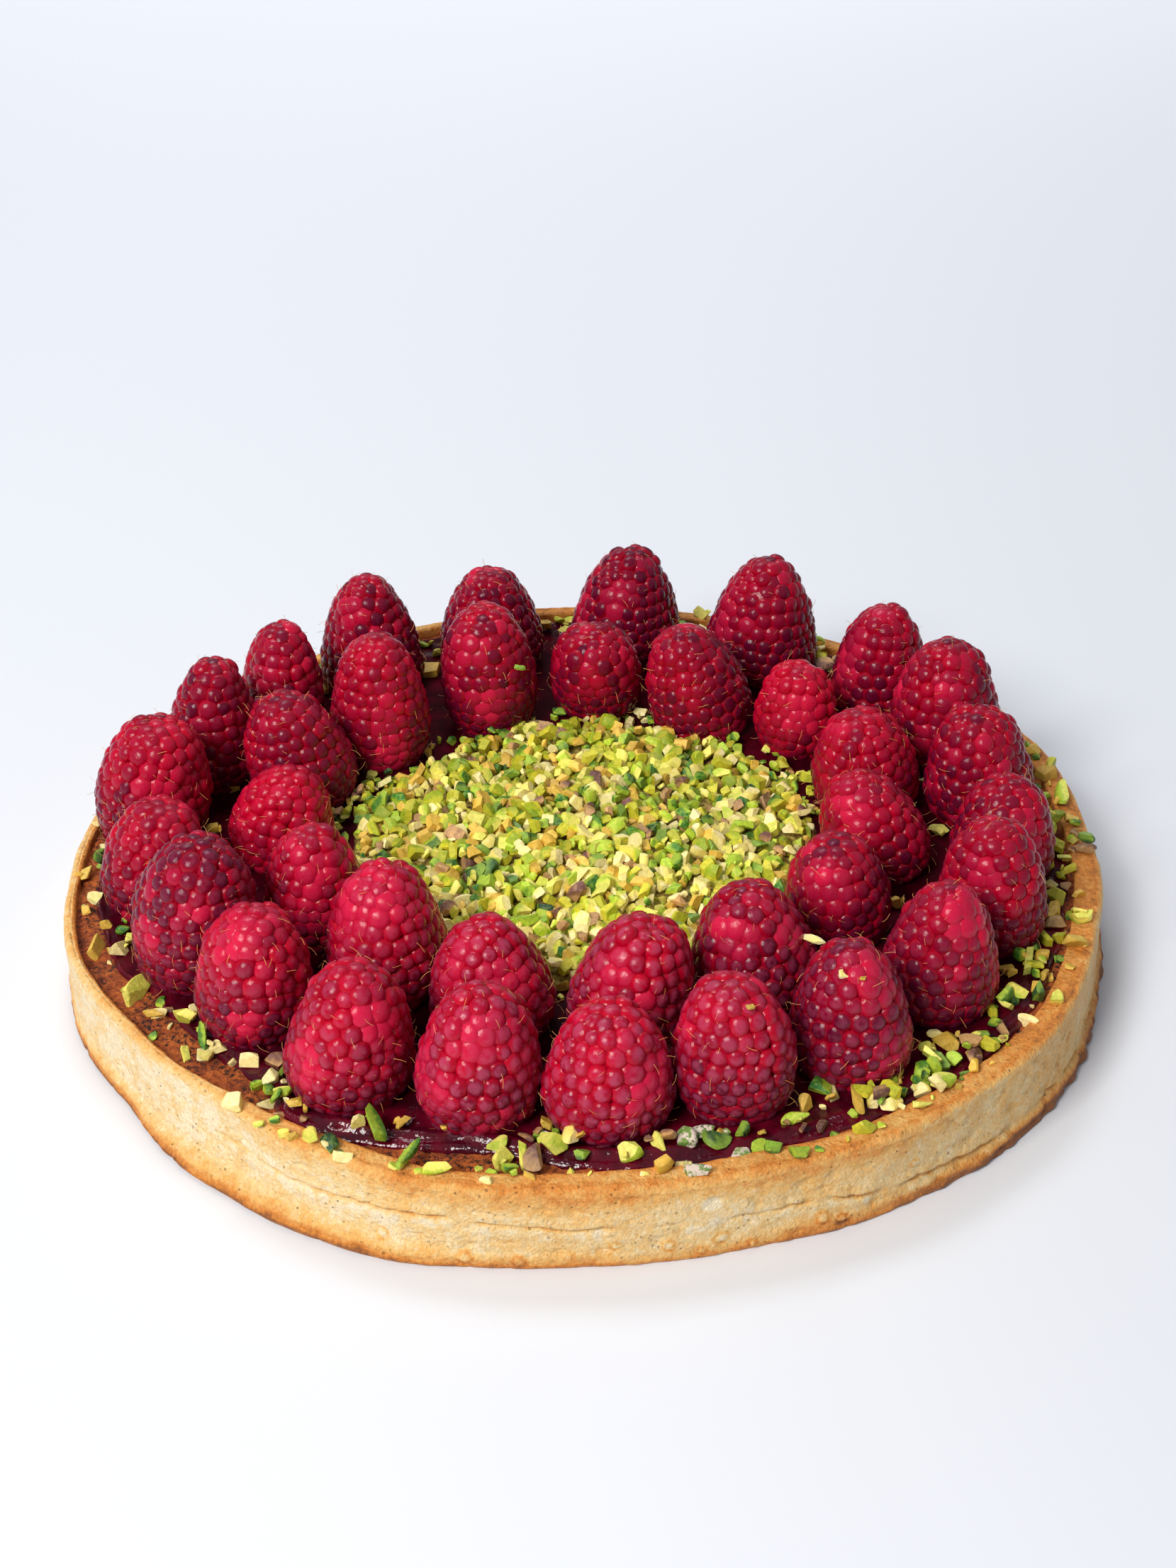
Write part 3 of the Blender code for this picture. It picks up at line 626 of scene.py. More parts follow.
def nut_material():
    """Chopped pistachio: flesh that is greener near its skin, the skin itself, and its meal."""
    made, tree, shader = new_material("Chopped pistachio", roughness=0.4, subsurface_weight=0.18,
                                      subsurface_scale=0.9 * MM,
                                      subsurface_radius=(1.0, 1.0, 0.4))
    flesh = attribute(tree, "flesh", "Color")
    coat = attribute(tree, "coat", "Color")
    uneven = flow(tree, "ShaderNodeMath", {0: grain(tree, 1.2 * MM, 3), 1: 0.5, 2: -0.25},
                  operation="MULTIPLY_ADD")
    rind = spread(tree, attribute(tree, "rind") + uneven, 0.56, 0.86)
    colour = blend(tree, rind * 0.85, flesh, coat)
    mottled = spread(tree, grain(tree, 0.8 * MM, 3), 0.35, 0.7, 0.88, 1.12)
    colour = blend(tree, 1.0, colour, mottled, "MULTIPLY")
    streaks = spread(tree, grain(tree, 0.9 * MM, 4, 0.7), 0.44, 0.62)
    skin_colour = blend(tree, streaks * 0.35, coat, flesh)
    colour = blend(tree, attribute(tree, "skin"), colour, skin_colour)
    patches = spread(tree, grain(tree, 1.5 * MM, 4, 0.7), 0.44, 0.54)
    meal = attribute(tree, "meal") * patches
    colour = blend(tree, meal * 0.9, colour, bpy.context.scene.tart_colours.nut_meal)
    fill(tree, shader.inputs["Base Color"], colour)
    bump(tree, shader, (grain(tree, 0.9 * MM, 5, 0.7), 0.3 * MM))
    return made


def crumb_material():
    """Fine nut crumb that fills the gaps under the chopped pistachios, partly dark as painted shade
    in those gaps.
    """
    made, tree, shader = new_material("Pistachio crumb", roughness=0.7)
    colours = bpy.context.scene.tart_colours
    fill(tree, shader.inputs["Base Color"], ramp(tree, grain(tree, 1.2 * MM, 4, 0.6), (
        (0.32, colours.crumb_dark_and_shade), (0.5, colours.crumb_brown), (0.7, colours.crumb_light))))
    bump(tree, shader, (grain(tree, 0.9 * MM, 4, 0.6), 0.5 * MM))
    return made


def point_values(mesh, kind, values):
    """Give a mesh's points one value each under each name: a number, a vector or a colour."""
    field = {"FLOAT": "value", "INT": "value", "FLOAT_VECTOR": "vector", "FLOAT_COLOR": "color"}
    for name, rows in values.items():
        flat = [part for row in rows for part in (row if hasattr(row, "__len__") else (row,))]
        mesh.attributes.new(name, kind, "POINT").data.foreach_set(field[kind], flat)


def run(key, steps, first=0, last=None):
    """Rings of one kind, each with its share of the way through its steps."""
    return [(key, step / steps) for step in range(first, (last or steps) + 1)]


def turned_mesh(name, rings, point_at, steps, looks=()):
    """Close a surface turned about the axis.

    Rings run from the top's centre, outwards and down, to the base's centre. point_at(ring,
    bearing) gives a point and the values that it carries, named in looks.
    """
    spots = [point_at(rings[0], 0.0)]
    for ring in rings[1:-1]:
        spots += [point_at(ring, 360 * step / steps) for step in range(steps)]
    spots.append(point_at(rings[-1], 0.0))
    last = len(spots) - 1
    faces = []
    for step in range(steps):
        after = (step + 1) % steps
        faces.append((0, 1 + step, 1 + after))
        for ring in range(len(rings) - 3):
            near, far = 1 + ring * steps, 1 + (ring + 1) * steps
            faces.append((near + step, far + step, far + after, near + after))
        low = 1 + (len(rings) - 3) * steps
        faces.append((last, low + after, low + step))
    mesh = bpy.data.meshes.new(name)
    mesh.from_pydata([spot[0] for spot in spots], [], faces)
    point_values(mesh, "FLOAT", {look: [spot[i] for spot in spots]
                                 for i, look in enumerate(looks, start=1)})
    mesh.shade_smooth()
    mesh.update()
    return mesh


def show(name, mesh, material, slot, *nodes):
    """Link a finished mesh as a piece of the tart that stands for solids."""
    if material is not None:
        mesh.materials.clear()
        mesh.materials.append(material)
    piece = bpy.data.objects.new(name, mesh)
    bpy.context.scene.collection.objects.link(piece)
    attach(piece, BODY)
    if nodes:
        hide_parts(*nodes)
    return piece


def hill(away, middle, half_width):
    """A smooth hill of height 1 round a place."""
    return math.exp(-((away - middle) / half_width) ** 2)


def wall_bake_and_shade(bearing, height, wall_top):
    """How brown the wall is at a height, from its rim down to its foot, with painted shade round
    the shaded right.
    """
    from_top = (wall_top - height) / MM
    bake = 0.17 + around(WALL_BROWNING_AND_SHADE, bearing)
    bake += 0.42 * around(TOP_BROWNING, bearing) * math.exp(-(from_top / 3.6) ** 1.6)
    bake += 0.42 * math.exp(-(height / (2.5 * MM)) ** 1.4)
    return bake + around(FOOT_BROWNING_AND_SHADE, bearing) * smooth_step(4.0 * MM, 1.6 * MM, height)


def crease(bearing, height, spot):
    """How far the wall stands out near its crease, in mm, and how much darker it is there: painted
    shade in the crack, and paler broken flakes below it.
    """
    along = on_tart(bearing, RIM_RADIUS, 0)
    level = around(CREASE_LEVEL, bearing) + lumps(along, CREASE_WAVES)
    torn = smooth_step(-0.35, 0.25, rough(along, 8 * MM, 6.0))
    depth = around(CREASE_DEPTH, bearing) * torn * (1 + 0.5 * rough(along, 1.6 * MM, 2.0))
    away = height / MM - level
    crack = hill(away, 0, 0.36)
    lap = 0.5 * depth * hill(away, 1.1, 0.9)
    under = 0.25 * depth * hill(away, -1.5, 0.9)
    flakes = hill(away, -1.3, 1.1) * max(0.3 + 1.3 * rough(spot, 1.9 * MM, 1.0), 0.0)
    # The crack is darkened as painted shade; the flakes below it are paler.
    return lap + under - 1.2 * depth * crack, depth * (0.5 * crack - 0.4 * flakes)


def from_place(bearing, height, place, level):
    """Distance in mm along the wall from a place on it."""
    aside = math.radians((bearing - place + 180) % 360 - 180) * RIM_RADIUS / MM
    return math.hypot(aside, height / MM - level)


def blisters(bearing, height):
    """How far the wall stands out at its blisters, in mm, and how much browner it is there."""
    swell, ring = 0.0, 0.0
    for place, level, radius in BLISTERS:
        away = from_place(bearing, height, place, level) / radius
        if away < 2:
            swell += 0.42 * smooth_step(1.1, 0.0, away)
            ring += 0.3 * smooth_step(1.5, 1.05, away) * smooth_step(0.5, 0.9, away)
            ring -= 0.14 * smooth_step(0.8, 0.3, away)
    scar = smooth_step(2.4, 0.8, from_place(bearing, height, *PALE_SCAR))
    return swell - 0.25 * scar, ring - 0.4 * scar


def make_crust():
    """The case: a lathe form with lumps, a cracked crease, a rounded rim and a browned foot."""
    corner = bpy.context.scene.tart_sizes.rim_corner
    lip = 0.6 * MM
    foot = 0.6 * MM
    foot_top = 1.0 * MM
    wall_top = CASE_HEIGHT - corner
    wall_steps = 58
    rings = [("axis", FLOOR), ("corner", FLOOR), ("inside", CASE_HEIGHT - 4 * MM)]
    rings += run("lip", 4) + run("rim", 9, 1, 8) + run("round", 6)
    rings += [("wall", 1 - step / wall_steps) for step in range(1, wall_steps)]
    rings += run("foot", 3) + [("base", 0), ("axis", 0)]

    def point_at(ring, bearing):
        key, share = ring
        edge = outline(bearing)
        inside = wall_inside(bearing)
        flare = around(FOOT_FLARE, bearing) * MM
        plain = {"axis": ((0, share), 0.5), "corner": ((inside - 0.3 * MM, share), 0.5),
                 "inside": ((inside, share), 0.6), "base": ((edge + flare - foot, 0), 0.7)}
        if key in plain:
            place, bake = plain[key]
            return on_tart(bearing, *place), bake
        out, up = 0.0, 0.0
        if key == "lip":
            angle = math.radians(180 - 90 * share)
            out, up = math.cos(angle), math.sin(angle)
            reach = inside + lip + lip * out
            height = CASE_HEIGHT - lip + lip * up
            bake = 0.72
        elif key == "rim":
            reach = inside + lip + (edge - corner - inside - lip) * share
            height = CASE_HEIGHT
            up = 1.0
            bake = 0.52 + 0.12 * abs(2 * share - 1) + around(RIM_BROWNING, bearing)
        elif key == "round":
            angle = math.radians(90 - 90 * share)
            out, up = math.cos(angle), math.sin(angle)
            reach = edge - corner + corner * out
            height = wall_top + corner * up
            bake = 0.68 - (0.16 + 0.34 * (1 - around(TOP_BROWNING, bearing))) * share
            bake += around(RIM_BROWNING, bearing) * (1 - share)
        elif key == "wall":
            out = 1.0
            height = foot_top + (wall_top - foot_top) * share
            reach = edge + flare * (0.5 * (1 - height / CASE_HEIGHT) ** 2.6
                                    + 0.5 * smooth_step(4.2 * MM, 2.4 * MM, height))
            bake = wall_bake_and_shade(bearing, height, wall_top)
        else:
            angle = math.radians(-90 * share)
            out = math.cos(angle)
            reach = edge + flare - foot + foot * out
            height = foot_top + foot_top * math.sin(angle)
            # The foot is browner, and darker round the shaded right as painted shade.
            bake = 0.6 + around(FOOT_BROWNING_AND_SHADE, bearing)
        spot = on_tart(bearing, reach, height)
        swell = lumps(spot, CRUST_LUMPS)
        bake += lumps(spot, BAKE_LUMPS)
        if key == "wall":
            fold, shade = crease(bearing, height, spot)
            blister, ring = blisters(bearing, height)
            swell += fold + blister
            bake += shade + ring
        if key in ("wall", "foot"):
            ragged = smooth_step(3.0 * MM, 0.8 * MM, height) * around(FOOT_RAGGED, bearing)
            swell += ragged * rough(spot, 2.8 * MM, 9.0)
            pits = smooth_step(0.25, 0.55, rough(spot, 2.4 * MM, 11.0))
            swell -= PIT_DEPTH * pits
        if key == "rim":
            swell = 0.3 * swell + 0.18 * rough(spot, 2.4 * MM, 2.0)
        if key in ("rim", "lip"):
            aside = math.radians(bearing - RIM_SLIT) * edge / MM
            slit = math.exp(-(aside / SLIT_HALF_WIDTH) ** 2)
            slit *= smooth_step(inside + 4.4 * MM, inside + 3 * MM, reach)
            swell -= SLIT_DEPTH * slit
            # The slit is darker: painted shade in the cut.
            bake += 0.7 * slit
        spot += on_tart(bearing, out, up) * swell * MM
        spot.z = min(max(spot.z, 0.0), CASE_HEIGHT + 0.35 * MM)
        return spot, bake

    mesh = turned_mesh("crust", rings, point_at, CASE_STEPS, ("bake",))
    show("crust_shell", mesh, crust_material(), "crust", "crust")


def make_cream():
    """The almond cream: smooth under the jam, and a crumbly browned band up to the rim."""
    band_start = 92 * MM
    shelf = JAM_TOP - 2.5 * MM
    rings = [("axis", 1), ("flat", 70 * MM)] + run("band", 34)
    rings += [("side", 0.5), ("bottom", 0), ("axis", 0)]

    def point_at(ring, bearing):
        key, share = ring
        inside = wall_inside(bearing)
        plain = {"axis": (0, shelf if share else FLOOR), "flat": (share, shelf),
                 "side": (inside + 0.3 * MM, (shelf + FLOOR) / 2), "bottom": (inside, FLOOR)}
        if key in plain:
            return (on_tart(bearing, *plain[key]),)
        reach = band_start + (inside + 0.4 * MM - band_start) * share
        edge = jam_edge(bearing)
        climb = smooth_step(edge - 3 * MM, edge - 0.5 * MM, reach)
        spot = on_tart(bearing, reach, shelf + climb * (JAM_TOP - 0.9 * MM - shelf))
        spot.z += climb * (lumps(spot, CREAM_LUMPS) + 0.25) * MM
        return (spot,)

    mesh = turned_mesh("almond_cream", rings, point_at, CASE_STEPS)
    show("almond_cream_crumb", mesh, cream_material(), "almond_cream", "almond_cream")


def berry_feet():
    """Where each raspberry meets the jam: its centre and its radius there."""
    return [(on_tart(berry.bearing, berry.reach * MM, 0), 0.80 * berry.width * MM / 2)
            for berry in BERRIES.values()]


def jam_crest(bearing, inward):
    """How far the jam heaps up a little inside its rounded edge."""
    along = on_tart(bearing, 100 * MM, 0)
    height = around(JAM_CREST, bearing) * (1 + 0.6 * rough(along, 8 * MM, 2.0))
    return height * MM * math.exp(-((inward - 2.3 * MM) / (1.6 * MM)) ** 2)


def make_jam():
    """The jam: a wavy glossy sheet with a thick round lip that climbs a little at each berry."""
    feet = berry_feet()
    lip = bpy.context.scene.tart_sizes.jam_lip
    inner = 40 * MM
    bottom = JAM_TOP - 2.4 * MM
    sheet_steps = 62
    rings = [("axis", 1)]
    rings += [("sheet", 1 - (1 - step / sheet_steps) ** 1.7) for step in range(sheet_steps)]
    rings += run("lip", 10) + [("under", 0), ("axis", 0)]

    def point_at(ring, bearing):
        key, share = ring
        if key == "axis":
            return Vector((0, 0, JAM_TOP if share else bottom)), 0.0
        wave = lumps(on_tart(bearing, 100 * MM, 0), JAM_WAVES)
        edge = min(jam_edge(bearing) + 0.6 * MM * wave, wall_inside(bearing) - 0.5 * MM)
        if key == "under":
            return on_tart(bearing, edge - 2.5 * MM, bottom), 1.0
        if key == "sheet":
            spot = on_tart(bearing, inner + (edge - lip - inner) * share, JAM_TOP)
            climb = max(math.exp(-max((spot - foot).xy.length - radius, 0) / (1.1 * MM))
                        for foot, radius in feet)
            inward = edge - lip - spot.xy.length
            bank = math.exp(-inward / (2.2 * MM))
            ridge = rough(Vector((math.radians(bearing) * 90 * MM, 2.2 * inward, 0)), 9 * MM, 5.0)
            ridge *= smooth_step(11 * MM, 6 * MM, inward) * smooth_step(0.0, 1.2 * MM, inward)
            rise = 0.2 * rough(spot, 5 * MM, 1.0) + 0.9 * climb * climb + 0.25 * bank
            rise += 0.9 * ridge
            spot.z += rise * MM + jam_crest(bearing, inward)
            # This sets the coat near the front edge; where it is low, the jam gets painted shade.
            wet = min(max(around(JAM_CREST, bearing) - 0.15, 0.0), 1.0)
            return spot, wet * smooth_step(13 * MM, 7 * MM, inward)
        angle = math.radians(64 - 149 * share)
        reach = edge - lip + lip * math.cos(angle)
        height = JAM_TOP + 0.25 * MM - lip + lip * math.sin(angle)
        spot = on_tart(bearing, reach, height)
        spot.z += 0.2 * MM * rough(on_tart(bearing, edge, 0), 4 * MM, 1.0)
        return spot, 1.0

    mesh = turned_mesh("raspberry_jam", rings, point_at, CASE_STEPS, ("edge",))
    show("raspberry_jam_glaze", mesh, jam_material(), "raspberry_jam", "raspberry_jam")


def new_tree(name, inputs):
    """A Geometry Nodes tree with named inputs, and its first and last nodes."""
    tree = bpy.data.node_groups.new(name, "GeometryNodeTree")
    tree.interface.new_socket("Geometry", in_out="INPUT", socket_type="NodeSocketGeometry")
    for label, kind in inputs:
        tree.interface.new_socket(label, in_out="INPUT", socket_type="NodeSocket" + kind)
    tree.interface.new_socket("Geometry", in_out="OUTPUT", socket_type="NodeSocketGeometry")
    return tree, tree.nodes.new("NodeGroupInput").outputs, tree.nodes.new("NodeGroupOutput")


def grow(name, guide_mesh, tree, values):
    """Run a tree on a guide mesh, and return the plain mesh that comes out."""
    guide = bpy.data.objects.new(name + "_guide", guide_mesh)
    bpy.context.scene.collection.objects.link(guide)
    modifier = guide.modifiers.new("Grow", "NODES")
    modifier.node_group = tree
    for item in tree.interface.items_tree:
        if item.in_out == "INPUT" and item.name in values:
            modifier[item.identifier] = values[item.name]
    bpy.context.view_layer.update()
    evaluated = guide.evaluated_get(bpy.context.evaluated_depsgraph_get())
    mesh = bpy.data.meshes.new_from_object(evaluated)
    mesh.name = name
    guide.modifiers.remove(modifier)
    bpy.data.objects.remove(guide)
    return mesh


def carried(tree, name, kind="FLOAT_VECTOR"):
    """A value that the guide's points carry, inside a Geometry Nodes tree."""
    return flow(tree, "GeometryNodeInputNamedAttribute", {"Name": name}, "Attribute",
                data_type=kind)


def random_value(tree, low, high, seed, kind="FLOAT"):
    """A random value between two, for each point."""
    return flow(tree, "FunctionNodeRandomValue", {"Min": low, "Max": high, "Seed": seed},
                "Value", data_type=kind)


def scaled(tree, vector, size):
    """A vector or a colour made larger or smaller."""
    return flow(tree, "ShaderNodeVectorMath", {0: vector, "Scale": size}, operation="SCALE")


def join(tree, *parts):
    """The parts of a geometry joined in one."""
    node = tree.nodes.new("GeometryNodeJoinGeometry")
    for part in parts:
        fill(tree, node.inputs[0], part)
    return Wire(tree, node.outputs[0])


def realize(tree, geometry):
    """Real faces in place of instances."""
    return flow(tree, "GeometryNodeRealizeInstances", {"Geometry": geometry})


def dress(tree, geometry, material):
    """A geometry with a material on all its faces."""
    return flow(tree, "GeometryNodeSetMaterial", {"Geometry": geometry, "Material": material})


def picked_from(tree, kit):
    """The pieces of a collection, one of which each point takes."""
    return flow(tree, "GeometryNodeCollectionInfo", {
        "Collection": kit, "Separate Children": True, "Reset Children": True})


def drupelet_mesh():
    """One drupelet: a closed dome, which carries how near its crown each point is."""
    rings = [("axis", DRUPELET_RINGS[0])]
    rings += [("ring", angle) for angle in DRUPELET_RINGS[1:]]
    rings.append(("axis", DRUPELET_RINGS[-1]))

    def point_at(ring, bearing):
        key, angle = ring
        reach = 0 if key == "axis" else math.sin(math.radians(angle)) ** 0.88
        up = math.cos(math.radians(angle))
        height = math.copysign(abs(up) ** 0.92, up)
        crown = smooth_step(GROOVE_ANGLE, 0, angle)
        return on_tart(bearing, reach, DRUPELET_HEIGHT * height), crown

    return turned_mesh("drupelet", rings, point_at, DRUPELET_SIDES, ("crown",))


def berry_half_width(share, taper):
    """Half width of a raspberry at a share of its height, as a share of the widest."""
    widest = 0.42 - 0.27 * taper
    if share < widest:
        return 1 - (0.24 - 0.14 * taper) * ((widest - share) / widest) ** 2
    rise = (share - widest) / (1 - widest)
    return max(1 - rise ** (2.0 - 0.65 * taper), 0.0) ** (0.35 + 0.08 * taper)


def core_mesh():
    """The body under the drupelets, one unit in half width and in height."""
    bands = 14
    rings = [("axis", 1)] + [("ring", 1 - band / bands) for band in range(1, bands + 1)]
    rings.append(("axis", 0))

    def point_at(ring, bearing):
        key, share = ring
        reach = 0 if key == "axis" else berry_half_width(share, CORE_TAPER)
        return on_tart(bearing, reach, share), 0.0

    return turned_mesh("berry_core", rings, point_at, CORE_SIDES, ("crown",))


def flank_of(height, width, taper, samples=240):
    """Length so far, radius and height at points up a raspberry's flank."""
    shares = numpy.linspace(0, 1, samples)
    radii = numpy.array([berry_half_width(share, taper) for share in shares]) * width / 2
    heights = shares * height
    steps = numpy.hypot(numpy.diff(radii), numpy.diff(heights))
    return numpy.concatenate(([0.0], numpy.cumsum(steps))), radii, heights


def first_seats(flank, spacing, rng):
    """Staggered rows of drupelets up a flank, smaller towards the base: length and angle."""
    lengths, radii, _ = flank
    seats = []
    length = 0.35 * spacing
    turn = rng.uniform(0, math.tau)
    while length < lengths[-1] - 0.3 * spacing:
        share = length / lengths[-1]
        near = spacing * (0.88 + 0.16 * smooth_step(0.0, 0.5, share))
        radius = float(numpy.interp(length, lengths, radii))
        count = max(3, round(math.tau * radius / (near * 0.97)))
        turn += math.pi / count + rng.uniform(-0.15, 0.15)
        seats += [(length + rng.uniform(-0.25, 0.25) * near,
                   turn + math.tau * (i + rng.uniform(-0.2, 0.2)) / count) for i in range(count)]
        length += near * 0.93
    seats.append((float(lengths[-1]), 0.0))
    return numpy.array(seats)


def settle(seats, flank, spacing, rng, rounds=18):
    """Slide drupelets over the flank until they sit about evenly, as ripe fruit does."""
    lengths, radii, heights = flank
    low, high = 0.2 * spacing, lengths[-1]
    weight = numpy.array([rng.choice((0.78, 0.92, 1.0, 1.06, 1.2)) for _ in seats])
    for _ in range(rounds):
        along, angle = seats[:, 0], seats[:, 1]
        radius = numpy.interp(along, lengths, radii)
        places = numpy.stack((radius * numpy.cos(angle), radius * numpy.sin(angle),
                              numpy.interp(along, lengths, heights)), axis=1)
        away = places[:, None] - places[None]
        gap = numpy.linalg.norm(away, axis=2) + numpy.eye(len(seats))
        wanted = spacing * weight * (0.88 + 0.16 * numpy.clip(along / high / 0.5, 0, 1))
        wanted = (wanted[:, None] + wanted[None]) / 2 * 1.06
        press = numpy.clip(wanted - gap, 0, None) / gap
        push = 0.28 * (away * press[..., None]).sum(axis=1)
        ahead = numpy.minimum(along + 0.1 * MM, high)
        back = ahead - 0.2 * MM
        rise = numpy.interp(ahead, lengths, heights) - numpy.interp(back, lengths, heights)
        swell = numpy.interp(ahead, lengths, radii) - numpy.interp(back, lengths, radii)
        size = numpy.hypot(rise, swell) + 1e-9
        outward = numpy.cos(angle) * push[:, 0] + numpy.sin(angle) * push[:, 1]
        aside = numpy.cos(angle) * push[:, 1] - numpy.sin(angle) * push[:, 0]
        seats[:, 0] = numpy.clip(along + (outward * swell + push[:, 2] * rise) / size, low, high)
        seats[:, 1] = angle + aside / numpy.maximum(radius, 0.8 * MM)
    gap.sort(axis=1)
    return seats, gap[:, :5].mean(axis=1)


def berry_seats(berry, height, width, rng):
    """The seats of a raspberry's drupelets, with how each one faces, its size and its tone."""
    spacing = bpy.context.scene.tart_sizes.drupelet_spacing
    flank = flank_of(height, width, berry.taper)
    lengths, radii, heights = flank
    spots, gaps = settle(first_seats(flank, spacing, rng), flank, spacing, rng)
    loose = rng.uniform(0.5, 1.2)
    lumpy = rng.uniform(0, 100)
    oval = rng.uniform(-0.05, 0.05)
    oval_turn = rng.uniform(0, math.pi)
    bloom = around(BLOOM_AND_SHEEN, berry.bearing)
    patches = []
    for bearing, share, reach in berry.patches:
        radius = berry_half_width(share, berry.taper) * width / 2
        patches.append((on_tart(bearing, radius, share * height), reach * MM))

    def flank_at(length):
        return numpy.array((numpy.interp(length, lengths, radii),
                            numpy.interp(length, lengths, heights)))

    seats = []
    for (length, angle), gap in zip(spots, gaps):
        ahead = min(length + 0.2 * MM, lengths[-1])
        back = max(length - 0.2 * MM, 0.0)
        along = Vector(flank_at(ahead) - flank_at(back)).normalized()
        spot = Vector(flank_at(length))
        if length > lengths[-1] - 0.5 * MM:
            along = Vector((-1, 0))
        normal = Vector((along.y, -along.x))
        side = Vector((math.cos(angle), math.sin(angle), 0))
        facing = side * normal.x + Vector((0, 0, normal.y))
        upward = side * along.x + Vector((0, 0, along.y))
        share = min(spot.y / height, 1.0)
        radius = 0.64 * gap * rng.uniform(0.95, 1.06)
        seat = side * spot.x * (1 + oval * math.cos(2 * (angle - oval_turn)))
        seat += Vector((0, 0, spot.y))
        merged = max([smooth_step(reach, 0.62 * reach, (seat - centre).length)
                      for centre, reach in patches] + [0.0])
        region = noise.noise(facing * 1.3 + Vector((0, lumpy, 0)))
        merged = max(merged, 0.8 * smooth_step(0.3, 0.5, region))
        sink = DRUPELET_HEIGHT * radius - 0.25 * MM
        swell = noise.noise(facing * 1.5 + Vector((lumpy, 0, share * 2)))
        seat += facing * (0.9 * swell * share * MM - sink
                          + loose * rng.uniform(-0.2, 0.2) * MM * (1 - 0.7 * merged))
        size = Vector((rng.uniform(0.92, 1.08), rng.uniform(0.96, 1.16),
                       rng.uniform(0.9, 1.08)))
        size.x *= 1 + 0.14 * merged
        size.y *= 1 + 0.14 * merged
        size.z *= 1 - 0.06 * merged
        tone = 0.66 * smooth_step(0.0, 0.8, share) + rng.gauss(0, 0.14) + berry.ripeness
        tone += 0.42 * noise.noise(facing * 1.3 + Vector((5, lumpy, 0)))
        pale = merged * rng.uniform(0.3, 0.85) + (0.4 if rng.random() < 0.03 else 0.0)
        turned = rng.uniform(-0.4, 0.4)
        across = facing.cross(upward)
        upward = (upward * math.cos(turned) + across * math.sin(turned)).normalized()
        seats.append((seat, facing, upward, size * radius, tone, pale, bloom))
    return seats


def seat_mesh(name, seats):
    """A mesh of bare points that carry how each drupelet sits and looks."""
    mesh = bpy.data.meshes.new(name + "_seats")
    spots, facing, upward, size, tone, pale, bloom = zip(*seats)
    mesh.from_pydata(spots, [], [])
    point_values(mesh, "FLOAT_VECTOR", {"facing": facing, "upward": upward, "size": size})
    point_values(mesh, "FLOAT", {"tone": tone, "pale": pale, "bloom": bloom})
    return mesh


def raspberry_tree():
    """Grow drupelets and golden hairs on the seats, over a core, then stand the fruit up."""
    tree, given, end = new_tree("Raspberry", (
        ("Drupelet", "Object"), ("Core", "Object"), ("Core Size", "Vector"), ("Tilt", "Vector"),
        ("Place", "Vector"), ("Hair Share", "Float"), ("Seed", "Int"), ("Flesh", "Material"),
        ("Hair", "Material")))
    upright = flow(tree, "FunctionNodeAxesToRotation", {
        "Primary Axis": carried(tree, "facing"), "Secondary Axis": carried(tree, "upward")},
        primary_axis="Z", secondary_axis="Y")
    dome = flow(tree, "GeometryNodeObjectInfo",
                {"Object": given["Drupelet"], "As Instance": True}, "Geometry")
    domes = flow(tree, "GeometryNodeInstanceOnPoints", {
        "Points": given["Geometry"], "Instance": dome, "Rotation": upright,
        "Scale": carried(tree, "size")})
    core = flow(tree, "GeometryNodeObjectInfo", {"Object": given["Core"]}, "Geometry")
    body = flow(tree, "GeometryNodeTransform", {"Geometry": core, "Scale": given["Core Size"]})
    fleshed = dress(tree, join(tree, realize(tree, domes), body), given["Flesh"])

    arc = flow(tree, "GeometryNodeCurveQuadraticBezier", {
        "Resolution": 5, "Start": (0, 0, 0), "Middle": HAIR_MIDDLE, "End": HAIR_TIP})
    ring = flow(tree, "GeometryNodeCurvePrimitiveCircle", {
        "Resolution": 3, "Radius": HAIR_RADIUS})
    hair = flow(tree, "GeometryNodeCurveToMesh", {
        "Curve": arc, "Profile Curve": ring, "Fill Caps": True})
    chance = flow(tree, "FunctionNodeRandomValue", {
        "Probability": given["Hair Share"], "Seed": given["Seed"]}, "Value", data_type="BOOLEAN")
    bend = random_value(tree, (-0.6, -0.6, -3.14), (0.6, 0.6, 3.14), given["Seed"],
                        "FLOAT_VECTOR")
    leaning = flow(tree, "FunctionNodeRotateRotation", {"Rotation": upright, "Rotate By": bend},
                   rotation_space="LOCAL")
    stretch = random_value(tree, 0.7, 1.35, given["Seed"])
    raised = scaled(tree, carried(tree, "facing"), HAIR_ROOT)
    roots = flow(tree, "GeometryNodeSetPosition", {
        "Geometry": given["Geometry"], "Offset": raised})
    hairs = flow(tree, "GeometryNodeInstanceOnPoints", {
        "Points": roots, "Selection": chance, "Instance": hair, "Rotation": leaning,
        "Scale": stretch})
    golden = dress(tree, realize(tree, hairs), given["Hair"])
    fill(tree, end.inputs[0], flow(tree, "GeometryNodeTransform", {
        "Geometry": join(tree, golden, fleshed), "Translation": given["Place"],
        "Rotation": given["Tilt"]}))
    return tree


def hidden_object(name, mesh):
    """An object that only lends its mesh to a tree."""
    made = bpy.data.objects.new(name, mesh)
    bpy.context.scene.collection.objects.link(made)
    made.hide_render = True
    return made


